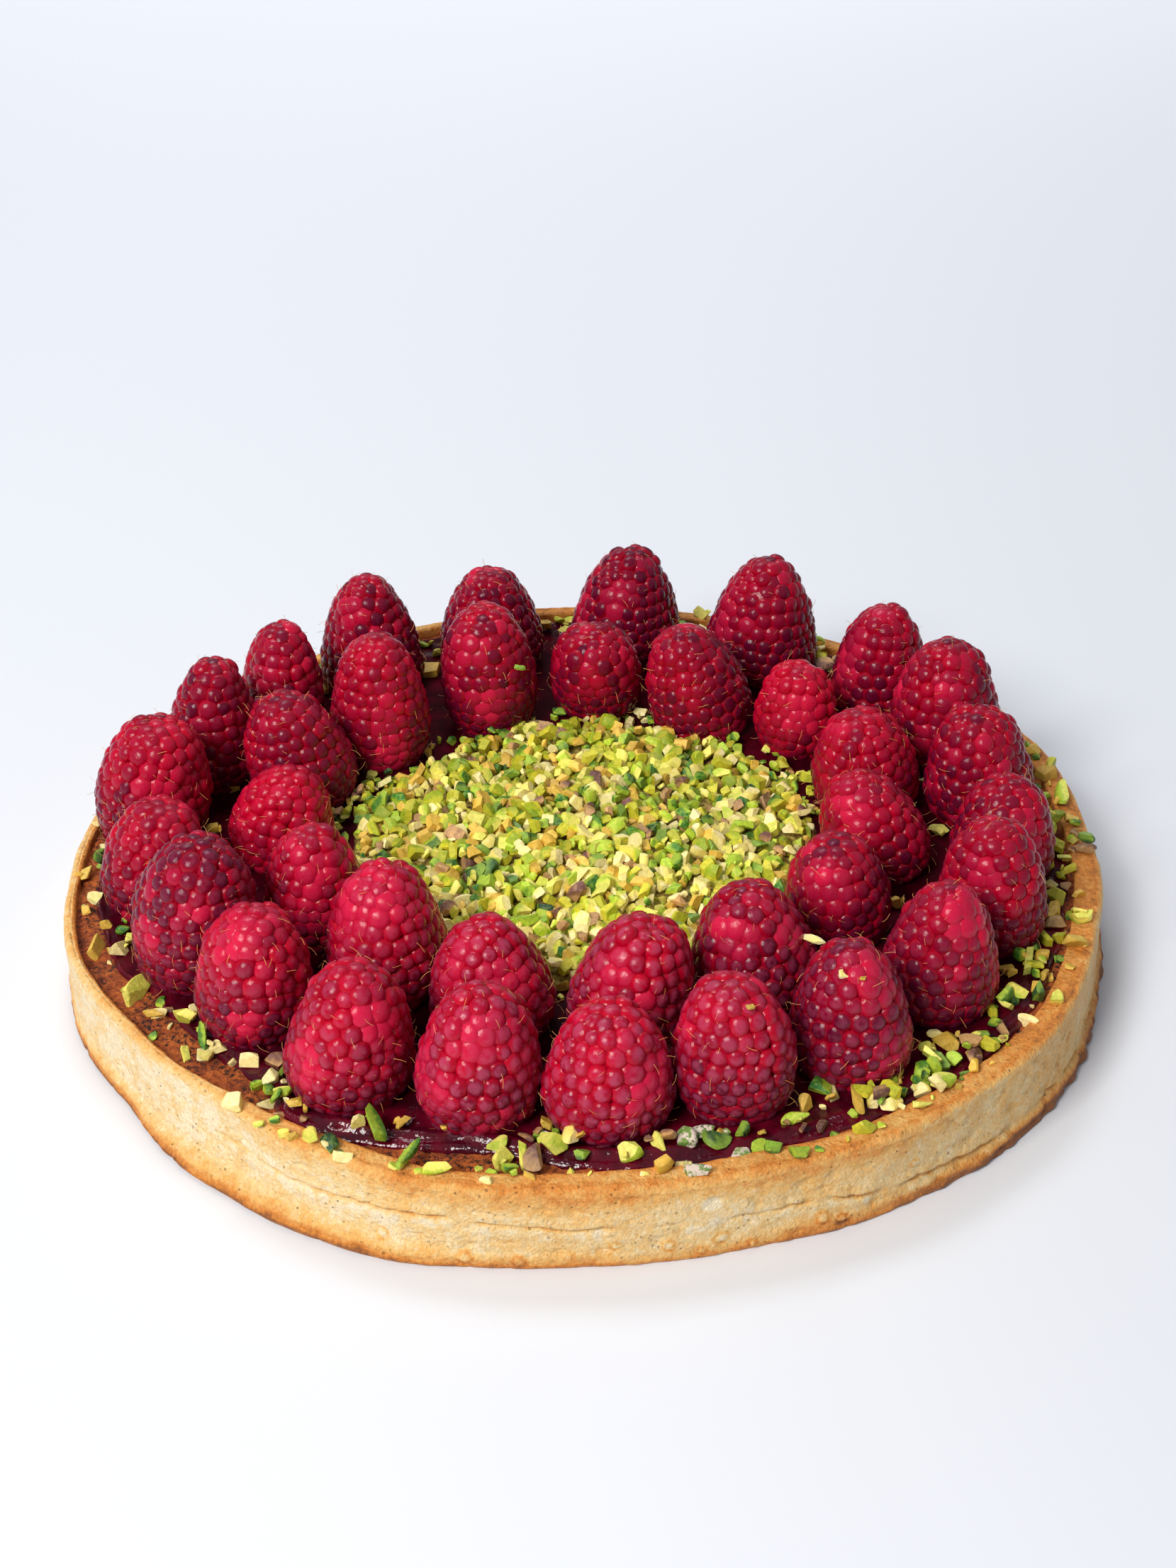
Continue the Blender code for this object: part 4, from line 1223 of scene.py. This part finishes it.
def make_berries():
    """Every raspberry as its own piece, each from its own seats."""
    sizes = bpy.context.scene.tart_sizes
    flesh = berry_material()
    hair = hair_material()
    tree = raspberry_tree()
    drupelet = hidden_object("drupelet", drupelet_mesh())
    core = hidden_object("berry_core", core_mesh())
    inset = 1.9 * MM
    for seed, (name, berry) in enumerate(BERRIES.items(), start=1):
        rng = random.Random(FIRST_BERRY_SEED + seed)
        tip = on_tart(berry.lean_bearing, math.sin(math.radians(berry.lean)),
                      math.cos(math.radians(berry.lean)))
        sunk = 0.2 * berry.width * MM * tip.xy.length
        tall = berry.height * MM + sunk
        wide = FULLNESS * berry.width * MM
        half = wide / 2 - inset
        seats = berry_seats(berry, tall, wide, rng)
        mesh = grow(name, seat_mesh(name, seats), tree, {
            "Drupelet": drupelet,
            "Core": core,
            "Core Size": (half, half, tall - inset),
            "Tilt": tuple(Vector((0, 0, 1)).rotation_difference(tip).to_euler()),
            "Place": tuple(on_tart(berry.bearing, berry.reach * MM, SEAT - sunk)),
            "Hair Share": sizes.hair_share,
            "Seed": seed,
            "Flesh": flesh,
            "Hair": hair,
        })
        show(name + "_fruit", mesh, None, "raspberry", name)
    bpy.data.objects.remove(drupelet)
    bpy.data.objects.remove(core)


def nib_mesh(name, rng, skinned, fine):
    """One chopped nut: a rounded lump cut by flat planes, one unit long, wide and thick."""
    work = bmesh.new()
    bmesh.ops.create_icosphere(work, subdivisions=3 if fine else 2, radius=1)
    skin = work.faces.layers.float.new("skin")
    rind = work.verts.layers.float.new("rind")
    for face in work.faces:
        face[skin] = 1.0 if skinned else 0.0
    skin_side = Vector((rng.uniform(-0.6, 0.6), rng.uniform(-0.8, 0.8), 0.8)).normalized()

    def cut(normal, nearest, farthest):
        cut_off(work, normal * rng.uniform(nearest, farthest), normal, skin, rng)

    for side in ((1, 0, 0), (-1, 0, 0), (0, 1, 0), (0, -1, 0)):
        cut((Vector(side) + Vector([rng.gauss(0, 0.3) for _ in range(3)])).normalized(), 0.42, 0.7)
    corners = 0
    while corners < 3:
        normal = Vector([rng.gauss(0, 1) for _ in range(3)]).normalized()
        if normal.dot(skin_side) < 0.4:
            corners += 1
            cut(normal, 0.45, 0.75)
    cut(-skin_side, 0.3, 0.5)
    if not skinned:
        cut(skin_side, 0.3, 0.5)
    bmesh.ops.remove_doubles(work, verts=work.verts, dist=0.05)
    if fine:
        sharp = [edge for edge in work.edges
                 if len(edge.link_faces) == 2 and edge.calc_face_angle() > math.radians(25)]
        bmesh.ops.bevel(work, geom=sharp, offset=0.06, segments=2, affect="EDGES",
                        clamp_overlap=True)
    low = Vector([min(vertex.co[i] for vertex in work.verts) for i in range(3)])
    high = Vector([max(vertex.co[i] for vertex in work.verts) for i in range(3)])
    for vertex in work.verts:
        vertex[rind] = 0.5 + 0.5 * vertex.co.dot(skin_side)
        for i in range(3):
            vertex.co[i] = (vertex.co[i] - (low[i] + high[i]) / 2) / (high[i] - low[i])
    bmesh.ops.recalc_face_normals(work, faces=work.faces)
    mesh = bpy.data.meshes.new(name)
    work.to_mesh(mesh)
    work.free()
    mesh.shade_smooth()
    mesh.set_sharp_from_angle(angle=math.radians(34))
    return mesh


def cut_off(work, place, normal, skin, rng):
    """Cut a lump with a plane and close it with a face of bare flesh, a little green."""
    geometry = list(work.verts) + list(work.edges) + list(work.faces)
    cut = bmesh.ops.bisect_plane(work, geom=geometry, plane_co=place, plane_no=normal,
                                 clear_outer=True)
    rim = [item for item in cut["geom_cut"] if isinstance(item, bmesh.types.BMEdge)]
    if len(rim) < 3:
        return
    made = bmesh.ops.edgeloop_fill(work, edges=rim)
    for face in made["faces"]:
        face[skin] = rng.uniform(0.0, 0.4)


def nib_kit(name, count, seed, fine):
    """A hidden collection of differently cut nibs, of which the first ones are finer."""
    rng = random.Random(seed)
    kit = bpy.data.collections.new(name)
    bpy.context.scene.collection.children.link(kit)
    for i in range(count):
        mesh = nib_mesh(f"{name}_{i:02d}", rng, i % 2 == 0, i < fine)
        made = bpy.data.objects.new(mesh.name, mesh)
        made.hide_render = True
        kit.objects.link(made)
    return kit


def drop_kit(kit):
    """Remove a hidden collection and what it holds."""
    for made in list(kit.objects):
        bpy.data.objects.remove(made)
    bpy.data.collections.remove(kit)


def nib_tree():
    """Lay a nib of a kit on each point, with the size, turn and colours that it carries."""
    tree, given, end = new_tree("Loose Nibs", (("Kit", "Collection"), ("Nut", "Material")))
    kit = picked_from(tree, given["Kit"])
    turn = flow(tree, "FunctionNodeEulerToRotation", {"Euler": carried(tree, "turn")})
    laid = flow(tree, "GeometryNodeInstanceOnPoints", {
        "Points": given["Geometry"], "Instance": kit, "Pick Instance": True,
        "Instance Index": carried(tree, "shape", "INT"), "Rotation": turn,
        "Scale": carried(tree, "size")})
    fill(tree, end.inputs[0], dress(tree, realize(tree, laid), given["Nut"]))
    return tree


def surface_height(bearing, reach):
    """Height of the rim, the cream or the jam under a place."""
    if reach > wall_inside(bearing):
        return CASE_HEIGHT + 0.1 * MM
    inward = jam_edge(bearing) - 1.1 * MM - reach
    if inward < -1.1 * MM:
        return JAM_TOP - 0.5 * MM
    return JAM_TOP + 0.2 * MM + jam_crest(bearing, inward)


def colour_of(kind, rng):
    """Flesh and outside colours of one nib of a kind, a little uneven."""
    shade = rng.uniform(0.86, 1.1)
    warmth = rng.uniform(-0.06, 0.06)
    tint = (shade * (1 + warmth), shade, shade * (1 - warmth))
    return [[value * change for value, change in zip(linear(*colour), tint)] + [1.0]
            for colour in NUT_KINDS[kind]]


def loose_spots(rng):
    """Bearing, reach, length, width, turn and kind of every nib on the rim, cream and jam."""
    spots = [(*row, kind) for kind, rows in LOOSE_NIBS.items() for row in rows]
    bearing = SCATTER_FROM
    while bearing < SCATTER_TO:
        bearing += rng.uniform(0.5, 1.5) / around(SCATTER_DENSITY, bearing)
        length = rng.uniform(1.8, 4.4)
        reach = min(rng.gauss(101.5, 3.2), 107.5)
        spots.append((bearing, max(reach, 95), length, length * rng.uniform(0.55, 0.8),
                      rng.uniform(0, 180), rng.choice(SCATTER_KINDS)))
    for bearing, reach, length, _, _, kind in list(spots):
        if length > 2.8 and rng.random() < CRUMB_SHARE:
            small = rng.uniform(0.9, 1.8)
            spots.append((bearing + rng.uniform(-2.6, 2.6), min(reach + rng.uniform(-3, 3), 108),
                          small, 0.75 * small, rng.uniform(0, 180), kind))
    for _ in range(SPILLED):
        length = rng.uniform(1.4, 3.4)
        bearing = rng.choice((rng.uniform(0, 360), rng.uniform(10, 170)))
        spots.append((bearing, rng.uniform(49, 57.5), length, 0.7 * length,
                      rng.uniform(0, 180), rng.choice(SCATTER_KINDS)))
    return spots


def nib_point(place, sizes, turn, kind, skinned, colours):
    """What a loose nib's point carries. Its sizes are in mm."""
    return {"place": place, "length": sizes[0], "turn": turn,
            "size": [size * MM for size in sizes], "flesh": colours[0], "coat": colours[1],
            "skinned": skinned, "meal": 1.0 if kind == "mealy" else 0.0}


def loose_points():
    """Every loose nib, where it lies on the tart or on the fruit."""
    rng = random.Random(SCATTER_SEED)
    points = []
    for bearing, reach, length, width, turn, kind in loose_spots(rng):
        length *= NIB_FULLNESS
        width *= NIB_FULLNESS
        thickness = min(0.8 * width, 2.6)
        place = on_tart(bearing, reach * MM, 0)
        place.z = surface_height(bearing, reach * MM) + (0.5 * thickness - 0.3) * MM
        for other in points:
            apart = (other["place"] - place).xy.length
            if apart < 0.36 * (length + other["length"]) * MM:
                place.z = max(place.z, other["place"].z + 0.45 * thickness * MM)
        place.z = min(place.z, surface_height(bearing, reach * MM) + 3.2 * MM)
        colours = colour_of(kind, rng)
        turned = (rng.choice((0, 1, 2, 3)) * math.pi / 2 + rng.uniform(-0.35, 0.35),
                  rng.uniform(-0.3, 0.3), math.radians(turn))
        skinned = kind in SKINNED_KINDS or rng.random() < 0.3
        points.append(nib_point(place, (length, width, thickness), turned, kind, skinned,
                                colours))
    for name, bearing, share, length, width, turn, kind in NIBS_ON_FRUIT:
        berry = BERRIES[name]
        radius = FULLNESS * berry_half_width(share, berry.taper) * berry.width / 2
        place = on_tart(berry.bearing, berry.reach * MM, SEAT + share * berry.height * MM)
        place += on_tart(bearing, (radius + 0.2) * MM, 0)
        points.append(nib_point(place, (length, width, 0.6 * width),
                                (0.4, 0.0, math.radians(turn)), kind, False,
                                colour_of(kind, rng)))
    return points


def points_mesh(name, points):
    """A mesh of bare points that carry what each nib looks like."""
    rng = random.Random(PICK_SEED)
    mesh = bpy.data.meshes.new(name)
    mesh.from_pydata([point["place"] for point in points], [], [])
    for kind, keys in (("FLOAT_VECTOR", ("turn", "size")), ("FLOAT_COLOR", ("flesh", "coat")),
                       ("FLOAT", ("meal",))):
        point_values(mesh, kind, {key: [point[key] for point in points] for key in keys})
    picks = []
    for point in points:
        fine = point["length"] > LEAST_FINE_NIB
        first, last = (0, FINE_SHAPES) if fine else (FINE_SHAPES, FINE_SHAPES + COARSE_SHAPES)
        picks.append(2 * rng.randrange(first // 2, last // 2) + (0 if point["skinned"] else 1))
    point_values(mesh, "INT", {"shape": picks})
    return mesh


def make_loose_nibs():
    """The loose chopped pistachios on the rim, the cream and the jam, joined in one piece."""
    kit = nib_kit("cut_nib", FINE_SHAPES + COARSE_SHAPES, LOOSE_KIT_SEED, FINE_SHAPES)
    mesh = grow("loose_nibs", points_mesh("nib_points", loose_points()), nib_tree(),
                {"Kit": kit, "Nut": nut_material()})
    drop_kit(kit)
    show("loose_nibs", mesh, None, "pistachio_bed")


def bed_edge(bearing):
    """Radius of the pistachio bed, with a wavy edge."""
    ripple = sum(size * MM * math.cos(math.radians(count * (bearing - crest)))
                 for count, size, crest in BED_WAVES)
    return BED_RADIUS + ripple


def make_bed_core():
    """The mound of fine crumb under the chopped nuts."""
    base = SEAT - 0.4 * MM
    rings = [("axis", 0)] + run("top", 30, 1) + [("under", 0.98), ("axis", 1)]

    def point_at(ring, bearing):
        key, share = ring
        if key == "axis":
            return (Vector((0, 0, SEAT + (BED_DOME if share == 0 else 0) - 0.4 * MM)),)
        if key == "under":
            return (on_tart(bearing, bed_edge(bearing) * share, base),)
        spot = on_tart(bearing, bed_edge(bearing) * share, SEAT)
        dome = BED_EDGE + (BED_DOME - BED_EDGE) * (1 - share * share)
        spot.z += (dome - 0.5 * MM) * smooth_step(1.0, 0.94, share)
        spot.z += 0.4 * MM * rough(spot, 3 * MM, 2.0) * smooth_step(1.0, 0.9, share)
        return (spot,)

    mesh = turned_mesh("pistachio_crumb", rings, point_at, BED_STEPS)
    return show("pistachio_crumb", mesh, crumb_material(), "pistachio_bed", "pistachio_bed")


def nib_colours(tree, pick, kinds, part):
    """The flesh or outside colour of the kind of nib that a random number picks."""
    stops = []
    place = 0.0
    for kind, share in kinds:
        stops.append((place, linear(*NUT_KINDS[kind][part])))
        place += share
    return ramp(tree, pick, stops, "CONSTANT")


def bed_tree():
    """Scatter nibs of a kit over a mound, in random sizes, turns and colours, with painted shade on
    nibs that sit low and towards the rear.
    """
    tree, given, end = new_tree("Pistachio Bed", (
        ("Kit", "Collection"), ("Nut", "Material"), ("Spacing", "Float"), ("Smallest", "Float"),
        ("Largest", "Float"), ("Lift", "Vector"), ("Seed", "Int")))

    def part_of(vector, axis):
        return flow(tree, "ShaderNodeSeparateXYZ", {0: vector}, axis)

    facing = flow(tree, "GeometryNodeInputNormal")
    showing = maths(tree, "GREATER_THAN", part_of(facing, "Z"), 0.2)
    points = flow(tree, "GeometryNodeDistributePointsOnFaces", {
        "Mesh": given["Geometry"], "Selection": showing, "Distance Min": given["Spacing"],
        "Density Max": 2.0e6, "Seed": given["Seed"]}, "Points", distribute_method="POISSON")
    lift = random_value(tree, (0, 0, 0), given["Lift"], 3, "FLOAT_VECTOR")
    nibs = flow(tree, "GeometryNodeSetPosition", {"Geometry": points, "Offset": lift})
    pick = random_value(tree, 0.0, 1.0, 5)
    back = part_of(flow(tree, "GeometryNodeInputPosition"), "Y")
    behind = maths(tree, "LESS_THAN", random_value(tree, 0.0, 1.0, 6),
                   spread(tree, back, -30 * MM, 40 * MM))
    # Nibs that sit low in the heap are darker, and the front is lighter than the rear: painted
    # shade and light.
    depth = spread(tree, part_of(lift, "Z"), 0.0, part_of(given["Lift"], "Z"), 0.66, 1.1)
    depth *= spread(tree, back, -45 * MM, 20 * MM, 1.08, 0.95)
    shade = random_value(tree, 0.9, 1.25, 7) * depth
    for part, key in enumerate(("flesh", "coat")):
        colour = blend(tree, behind, nib_colours(tree, pick, BED_FRONT, part),
                       nib_colours(tree, pick, BED_REAR, part))
        nibs = flow(tree, "GeometryNodeStoreNamedAttribute", {
            "Geometry": nibs, "Name": key, "Value": scaled(tree, colour, shade)},
            data_type="FLOAT_COLOR", domain="POINT")
    turn = random_value(tree, (-1.5, -1.2, 0.0), (1.5, 1.2, 6.28), 9, "FLOAT_VECTOR")
    turned = flow(tree, "FunctionNodeEulerToRotation", {"Euler": turn})
    size = random_value(tree, given["Smallest"], given["Largest"], 11)
    form = random_value(tree, (0.8, 0.6, 0.5), (1.15, 0.9, 0.8), 13, "FLOAT_VECTOR")
    laid = flow(tree, "GeometryNodeInstanceOnPoints", {
        "Points": nibs, "Instance": picked_from(tree, given["Kit"]), "Pick Instance": True,
        "Rotation": turned, "Scale": scaled(tree, form, size)})
    fill(tree, end.inputs[0], dress(tree, realize(tree, laid), given["Nut"]))
    return tree


def make_bed():
    """The pistachio bed: a mound of crumb under a heap of chopped nuts."""
    sizes = bpy.context.scene.tart_sizes
    core = make_bed_core()
    kit = nib_kit("bed_nib", BED_SHAPES, BED_KIT_SEED, 0)
    nut = bpy.data.materials.get("Chopped pistachio") or nut_material()
    mesh = grow("pistachio_nibs", core.data.copy(), bed_tree(), {
        "Kit": kit, "Nut": nut, "Spacing": sizes.bed_spacing, "Smallest": sizes.bed_smallest,
        "Largest": sizes.bed_largest, "Lift": (0, 0, sizes.bed_lift), "Seed": BED_SEED})
    drop_kit(kit)
    show("pistachio_nibs", mesh, None, "pistachio_bed", "pistachio_bed")


def make_camera():
    """The camera at the photograph's viewing angle."""
    forward = Vector((math.sin(CAMERA_YAW) * math.cos(CAMERA_PITCH),
                      math.cos(CAMERA_YAW) * math.cos(CAMERA_PITCH), math.sin(CAMERA_PITCH)))
    level = Vector((math.cos(CAMERA_YAW), -math.sin(CAMERA_YAW), 0))
    upright = level.cross(forward)
    right = math.cos(CAMERA_ROLL) * level + math.sin(CAMERA_ROLL) * upright
    above = -math.sin(CAMERA_ROLL) * level + math.cos(CAMERA_ROLL) * upright
    data = bpy.data.cameras.new("camera")
    data.sensor_fit = "VERTICAL"
    data.sensor_height = SENSOR_HEIGHT
    data.sensor_width = SENSOR_HEIGHT
    data.lens = FOCAL_PIXELS / FRAME_HEIGHT_PIXELS * SENSOR_HEIGHT
    data.clip_start = 0.01
    data.clip_end = 20
    camera = bpy.data.objects.new("camera", data)
    turn = Matrix((right, above, -forward)).transposed()
    camera.matrix_world = Matrix.Translation(CAMERA_PLACE) @ turn.to_4x4()
    bpy.context.scene.collection.objects.link(camera)
    bpy.context.scene.camera = camera


def add_softbox(name, place, target, size, power, colour):
    """A square soft light that faces a point."""
    data = bpy.data.lights.new(name, "AREA")
    data.shape = "RECTANGLE"
    data.size, data.size_y = size
    data.energy = power
    data.color = colour
    lamp = bpy.data.objects.new(name, data)
    lamp.location = place
    lamp.rotation_euler = (Vector(target) - Vector(place)).to_track_quat("-Z", "Y").to_euler()
    bpy.context.scene.collection.objects.link(lamp)


def make_stage():
    """A plain pale floor, soft light from the front left and from behind, and the camera."""
    colours = bpy.context.scene.tart_colours
    work = bmesh.new()
    bmesh.ops.create_grid(work, x_segments=1, y_segments=1, size=FLOOR_HALF_WIDTH)
    mesh = bpy.data.meshes.new("floor")
    work.to_mesh(mesh)
    work.free()
    made, _, shader = new_material("Pale floor", roughness=0.5)
    shader.inputs["Base Color"].default_value = (*colours.floor, 1.0)
    mesh.materials.append(made)
    floor = bpy.data.objects.new("floor", mesh)
    bpy.context.scene.collection.objects.link(floor)
    world = bpy.data.worlds.new("Room")
    world.use_nodes = True
    background = world.node_tree.nodes["Background"]
    background.inputs["Color"].default_value = ROOM_COLOUR
    background.inputs["Strength"].default_value = ROOM_STRENGTH
    bpy.context.scene.world = world
    for light in LIGHTS:
        add_softbox(*light)
    make_camera()
    bpy.context.scene.view_settings.view_transform = "Standard"


def colour_setting(name, description, shade):
    """A colour that a user can change, given as seen on a screen."""
    return bpy.props.FloatVectorProperty(name=name, description=description, subtype="COLOR",
                                         size=3, min=0.0, max=1.0, default=linear(*shade))


class TartColours(bpy.types.PropertyGroup):
    """Colours of the tart and its stage."""
    crust_flake: colour_setting("Flaky crust", "Broken flakes along the crease", (255, 234, 196))
    crust_pale: colour_setting("Pale crust", "Wall of the case where it browned least",
                               (252, 217, 154))
    crust_gold: colour_setting("Golden crust", "Wall of the case", (248, 190, 106))
    crust_brown: colour_setting("Brown crust", "Rim and foot of the case", (230, 142, 52))
    # Dark crust is the most browned edges, and also painted shade in the pores and on the shaded
    # foot.
    crust_dark_and_shade: colour_setting("Dark crust", "Edges of the case that browned most",
                               (156, 92, 42))
    crust_speck: colour_setting("Specks", "Dark specks on the case", (86, 56, 36))
    cream_light: colour_setting("Light cream", "Almond cream on its crumbs", (222, 118, 44))
    cream_brown: colour_setting("Brown cream", "Almond cream", (178, 78, 26))
    cream_scorch: colour_setting("Scorched cream", "Pores and scorched spots", (52, 24, 16))
    jam_dark: colour_setting("Dark jam", "Jam where it is thick", (62, 3, 20))
    jam_red: colour_setting("Red jam", "Jam where it is thin", (98, 5, 28))
    berry_red: colour_setting("Berry red", "Upper drupelets", (184, 2, 44))
    berry_dark: colour_setting("Berry dark", "Lower drupelets", (90, 1, 36))
    # Painted glow of light through the flesh, between the drupelets.
    berry_groove: colour_setting("Berry groove", "Between drupelets", (180, 2, 28))
    # Bloom on the crowns, which is partly painted sheen.
    berry_bloom: colour_setting("Berry bloom", "Bloom on the crowns", (176, 76, 106))
    berry_pale: colour_setting("Berry patch", "Smooth pale patches", (210, 28, 68))
    hair_dark: colour_setting("Dark hair", "Hairs of the raspberries", (214, 128, 60))
    hair_light: colour_setting("Light hair", "Lighter hairs", (250, 196, 116))
    nut_meal: colour_setting("Nut meal", "Meal that clings to dark nibs", (240, 218, 204))
    # The dark crumb is partly painted shade in the gaps between the nibs.
    crumb_dark_and_shade: colour_setting("Dark crumb", "Gaps in the bed's crumb", (84, 62, 26))
    crumb_brown: colour_setting("Brown crumb", "Fine crumb under the bed", (150, 126, 48))
    crumb_light: colour_setting("Light crumb", "Top of the fine crumb", (220, 198, 110))
    floor: colour_setting("Floor", "Plain floor under the tart", (221, 223, 229))


def length_setting(name, description, millimetres, least, most):
    """A length that a user can change, given in millimetres."""
    return bpy.props.FloatProperty(name=name, description=description, subtype="DISTANCE",
                                   unit="LENGTH", min=least * MM, max=most * MM,
                                   default=millimetres * MM, precision=4)


class TartSizes(bpy.types.PropertyGroup):
    """Sizes of the tart's details."""
    drupelet_spacing: length_setting("Drupelet spacing", "Between drupelets of a raspberry",
                                     3.35, 2.6, 5.0)
    hair_share: bpy.props.FloatProperty(name="Hair share", description="Drupelets with a hair",
                                        subtype="FACTOR", min=0.0, max=1.0, default=0.38)
    bed_spacing: length_setting("Bed spacing", "Between nibs of the bed", 1.85, 1.2, 6.0)
    bed_smallest: length_setting("Smallest bed nib", "Length of the smallest nibs of the bed",
                                 2.0, 1.0, 4.0)
    bed_largest: length_setting("Largest bed nib", "Length of the largest nibs of the bed",
                                5.0, 2.0, 8.0)
    bed_lift: length_setting("Bed lift", "Most that a nib of the bed is raised", 2.6, 0.0, 4.0)
    jam_lip: length_setting("Jam lip", "Radius of the jam's rounded edge", 1.15, 0.4, 1.2)
    rim_corner: length_setting("Rim corner", "Radius of the rim's outer edge", 1.4, 0.5, 2.5)


class TART_OT_crust(bpy.types.Operator):
    """Make the baked case"""
    bl_idname = "tart.crust"
    bl_label = "Crust"
    bl_options = {"REGISTER", "UNDO"}

    def execute(self, context):
        """Make the case."""
        make_crust()
        return {"FINISHED"}


class TART_OT_cream(bpy.types.Operator):
    """Make the browned almond cream"""
    bl_idname = "tart.cream"
    bl_label = "Almond cream"
    bl_options = {"REGISTER", "UNDO"}

    def execute(self, context):
        """Make the cream."""
        make_cream()
        return {"FINISHED"}


class TART_OT_jam(bpy.types.Operator):
    """Make the raspberry jam"""
    bl_idname = "tart.jam"
    bl_label = "Jam"
    bl_options = {"REGISTER", "UNDO"}

    def execute(self, context):
        """Make the jam."""
        make_jam()
        return {"FINISHED"}


class TART_OT_berries(bpy.types.Operator):
    """Make both rings of raspberries"""
    bl_idname = "tart.berries"
    bl_label = "Raspberries"
    bl_options = {"REGISTER", "UNDO"}

    def execute(self, context):
        """Make the raspberries."""
        make_berries()
        return {"FINISHED"}


class TART_OT_loose_nibs(bpy.types.Operator):
    """Lay the loose pistachio nibs"""
    bl_idname = "tart.loose_nibs"
    bl_label = "Loose nibs"
    bl_options = {"REGISTER", "UNDO"}

    def execute(self, context):
        """Lay the nibs."""
        make_loose_nibs()
        return {"FINISHED"}


class TART_OT_bed(bpy.types.Operator):
    """Heap the chopped pistachios"""
    bl_idname = "tart.bed"
    bl_label = "Pistachio bed"
    bl_options = {"REGISTER", "UNDO"}

    def execute(self, context):
        """Make the bed."""
        make_bed()
        return {"FINISHED"}


class TART_OT_stage(bpy.types.Operator):
    """Set the floor, the light and the camera"""
    bl_idname = "tart.stage"
    bl_label = "Stage"
    bl_options = {"REGISTER", "UNDO"}

    def execute(self, context):
        """Set the stage."""
        make_stage()
        return {"FINISHED"}


STEPS = (TART_OT_crust, TART_OT_cream, TART_OT_jam, TART_OT_berries, TART_OT_loose_nibs,
         TART_OT_bed, TART_OT_stage)


class TART_PT_panel(bpy.types.Panel):
    """Lists the steps, sizes and colours of the tart"""
    bl_idname = "TART_PT_panel"
    bl_label = "Tart"
    bl_space_type = "VIEW_3D"
    bl_region_type = "UI"
    bl_category = "Tart"

    def draw(self, context):
        """Show a button for each step, then the sizes and colours."""
        for step in STEPS:
            self.layout.operator(step.bl_idname)
        for settings in (context.scene.tart_sizes, context.scene.tart_colours):
            for name in type(settings).__annotations__:
                self.layout.prop(settings, name)


CLASSES = (TartSizes, TartColours, *STEPS, TART_PT_panel)


def register():
    """Add the tart's settings, steps and panel."""
    for kind in CLASSES:
        bpy.utils.register_class(kind)
    bpy.types.Scene.tart_sizes = bpy.props.PointerProperty(type=TartSizes)
    bpy.types.Scene.tart_colours = bpy.props.PointerProperty(type=TartColours)


def unregister():
    """Remove the tart's settings, steps and panel."""
    del bpy.types.Scene.tart_colours
    del bpy.types.Scene.tart_sizes
    for kind in reversed(CLASSES):
        bpy.utils.unregister_class(kind)


def main():
    """Make the whole tart."""
    register()
    bpy.ops.tart.crust()
    bpy.ops.tart.cream()
    bpy.ops.tart.jam()
    bpy.ops.tart.berries()
    bpy.ops.tart.loose_nibs()
    bpy.ops.tart.bed()
    bpy.ops.tart.stage()


if __name__ == "__main__":
    main()
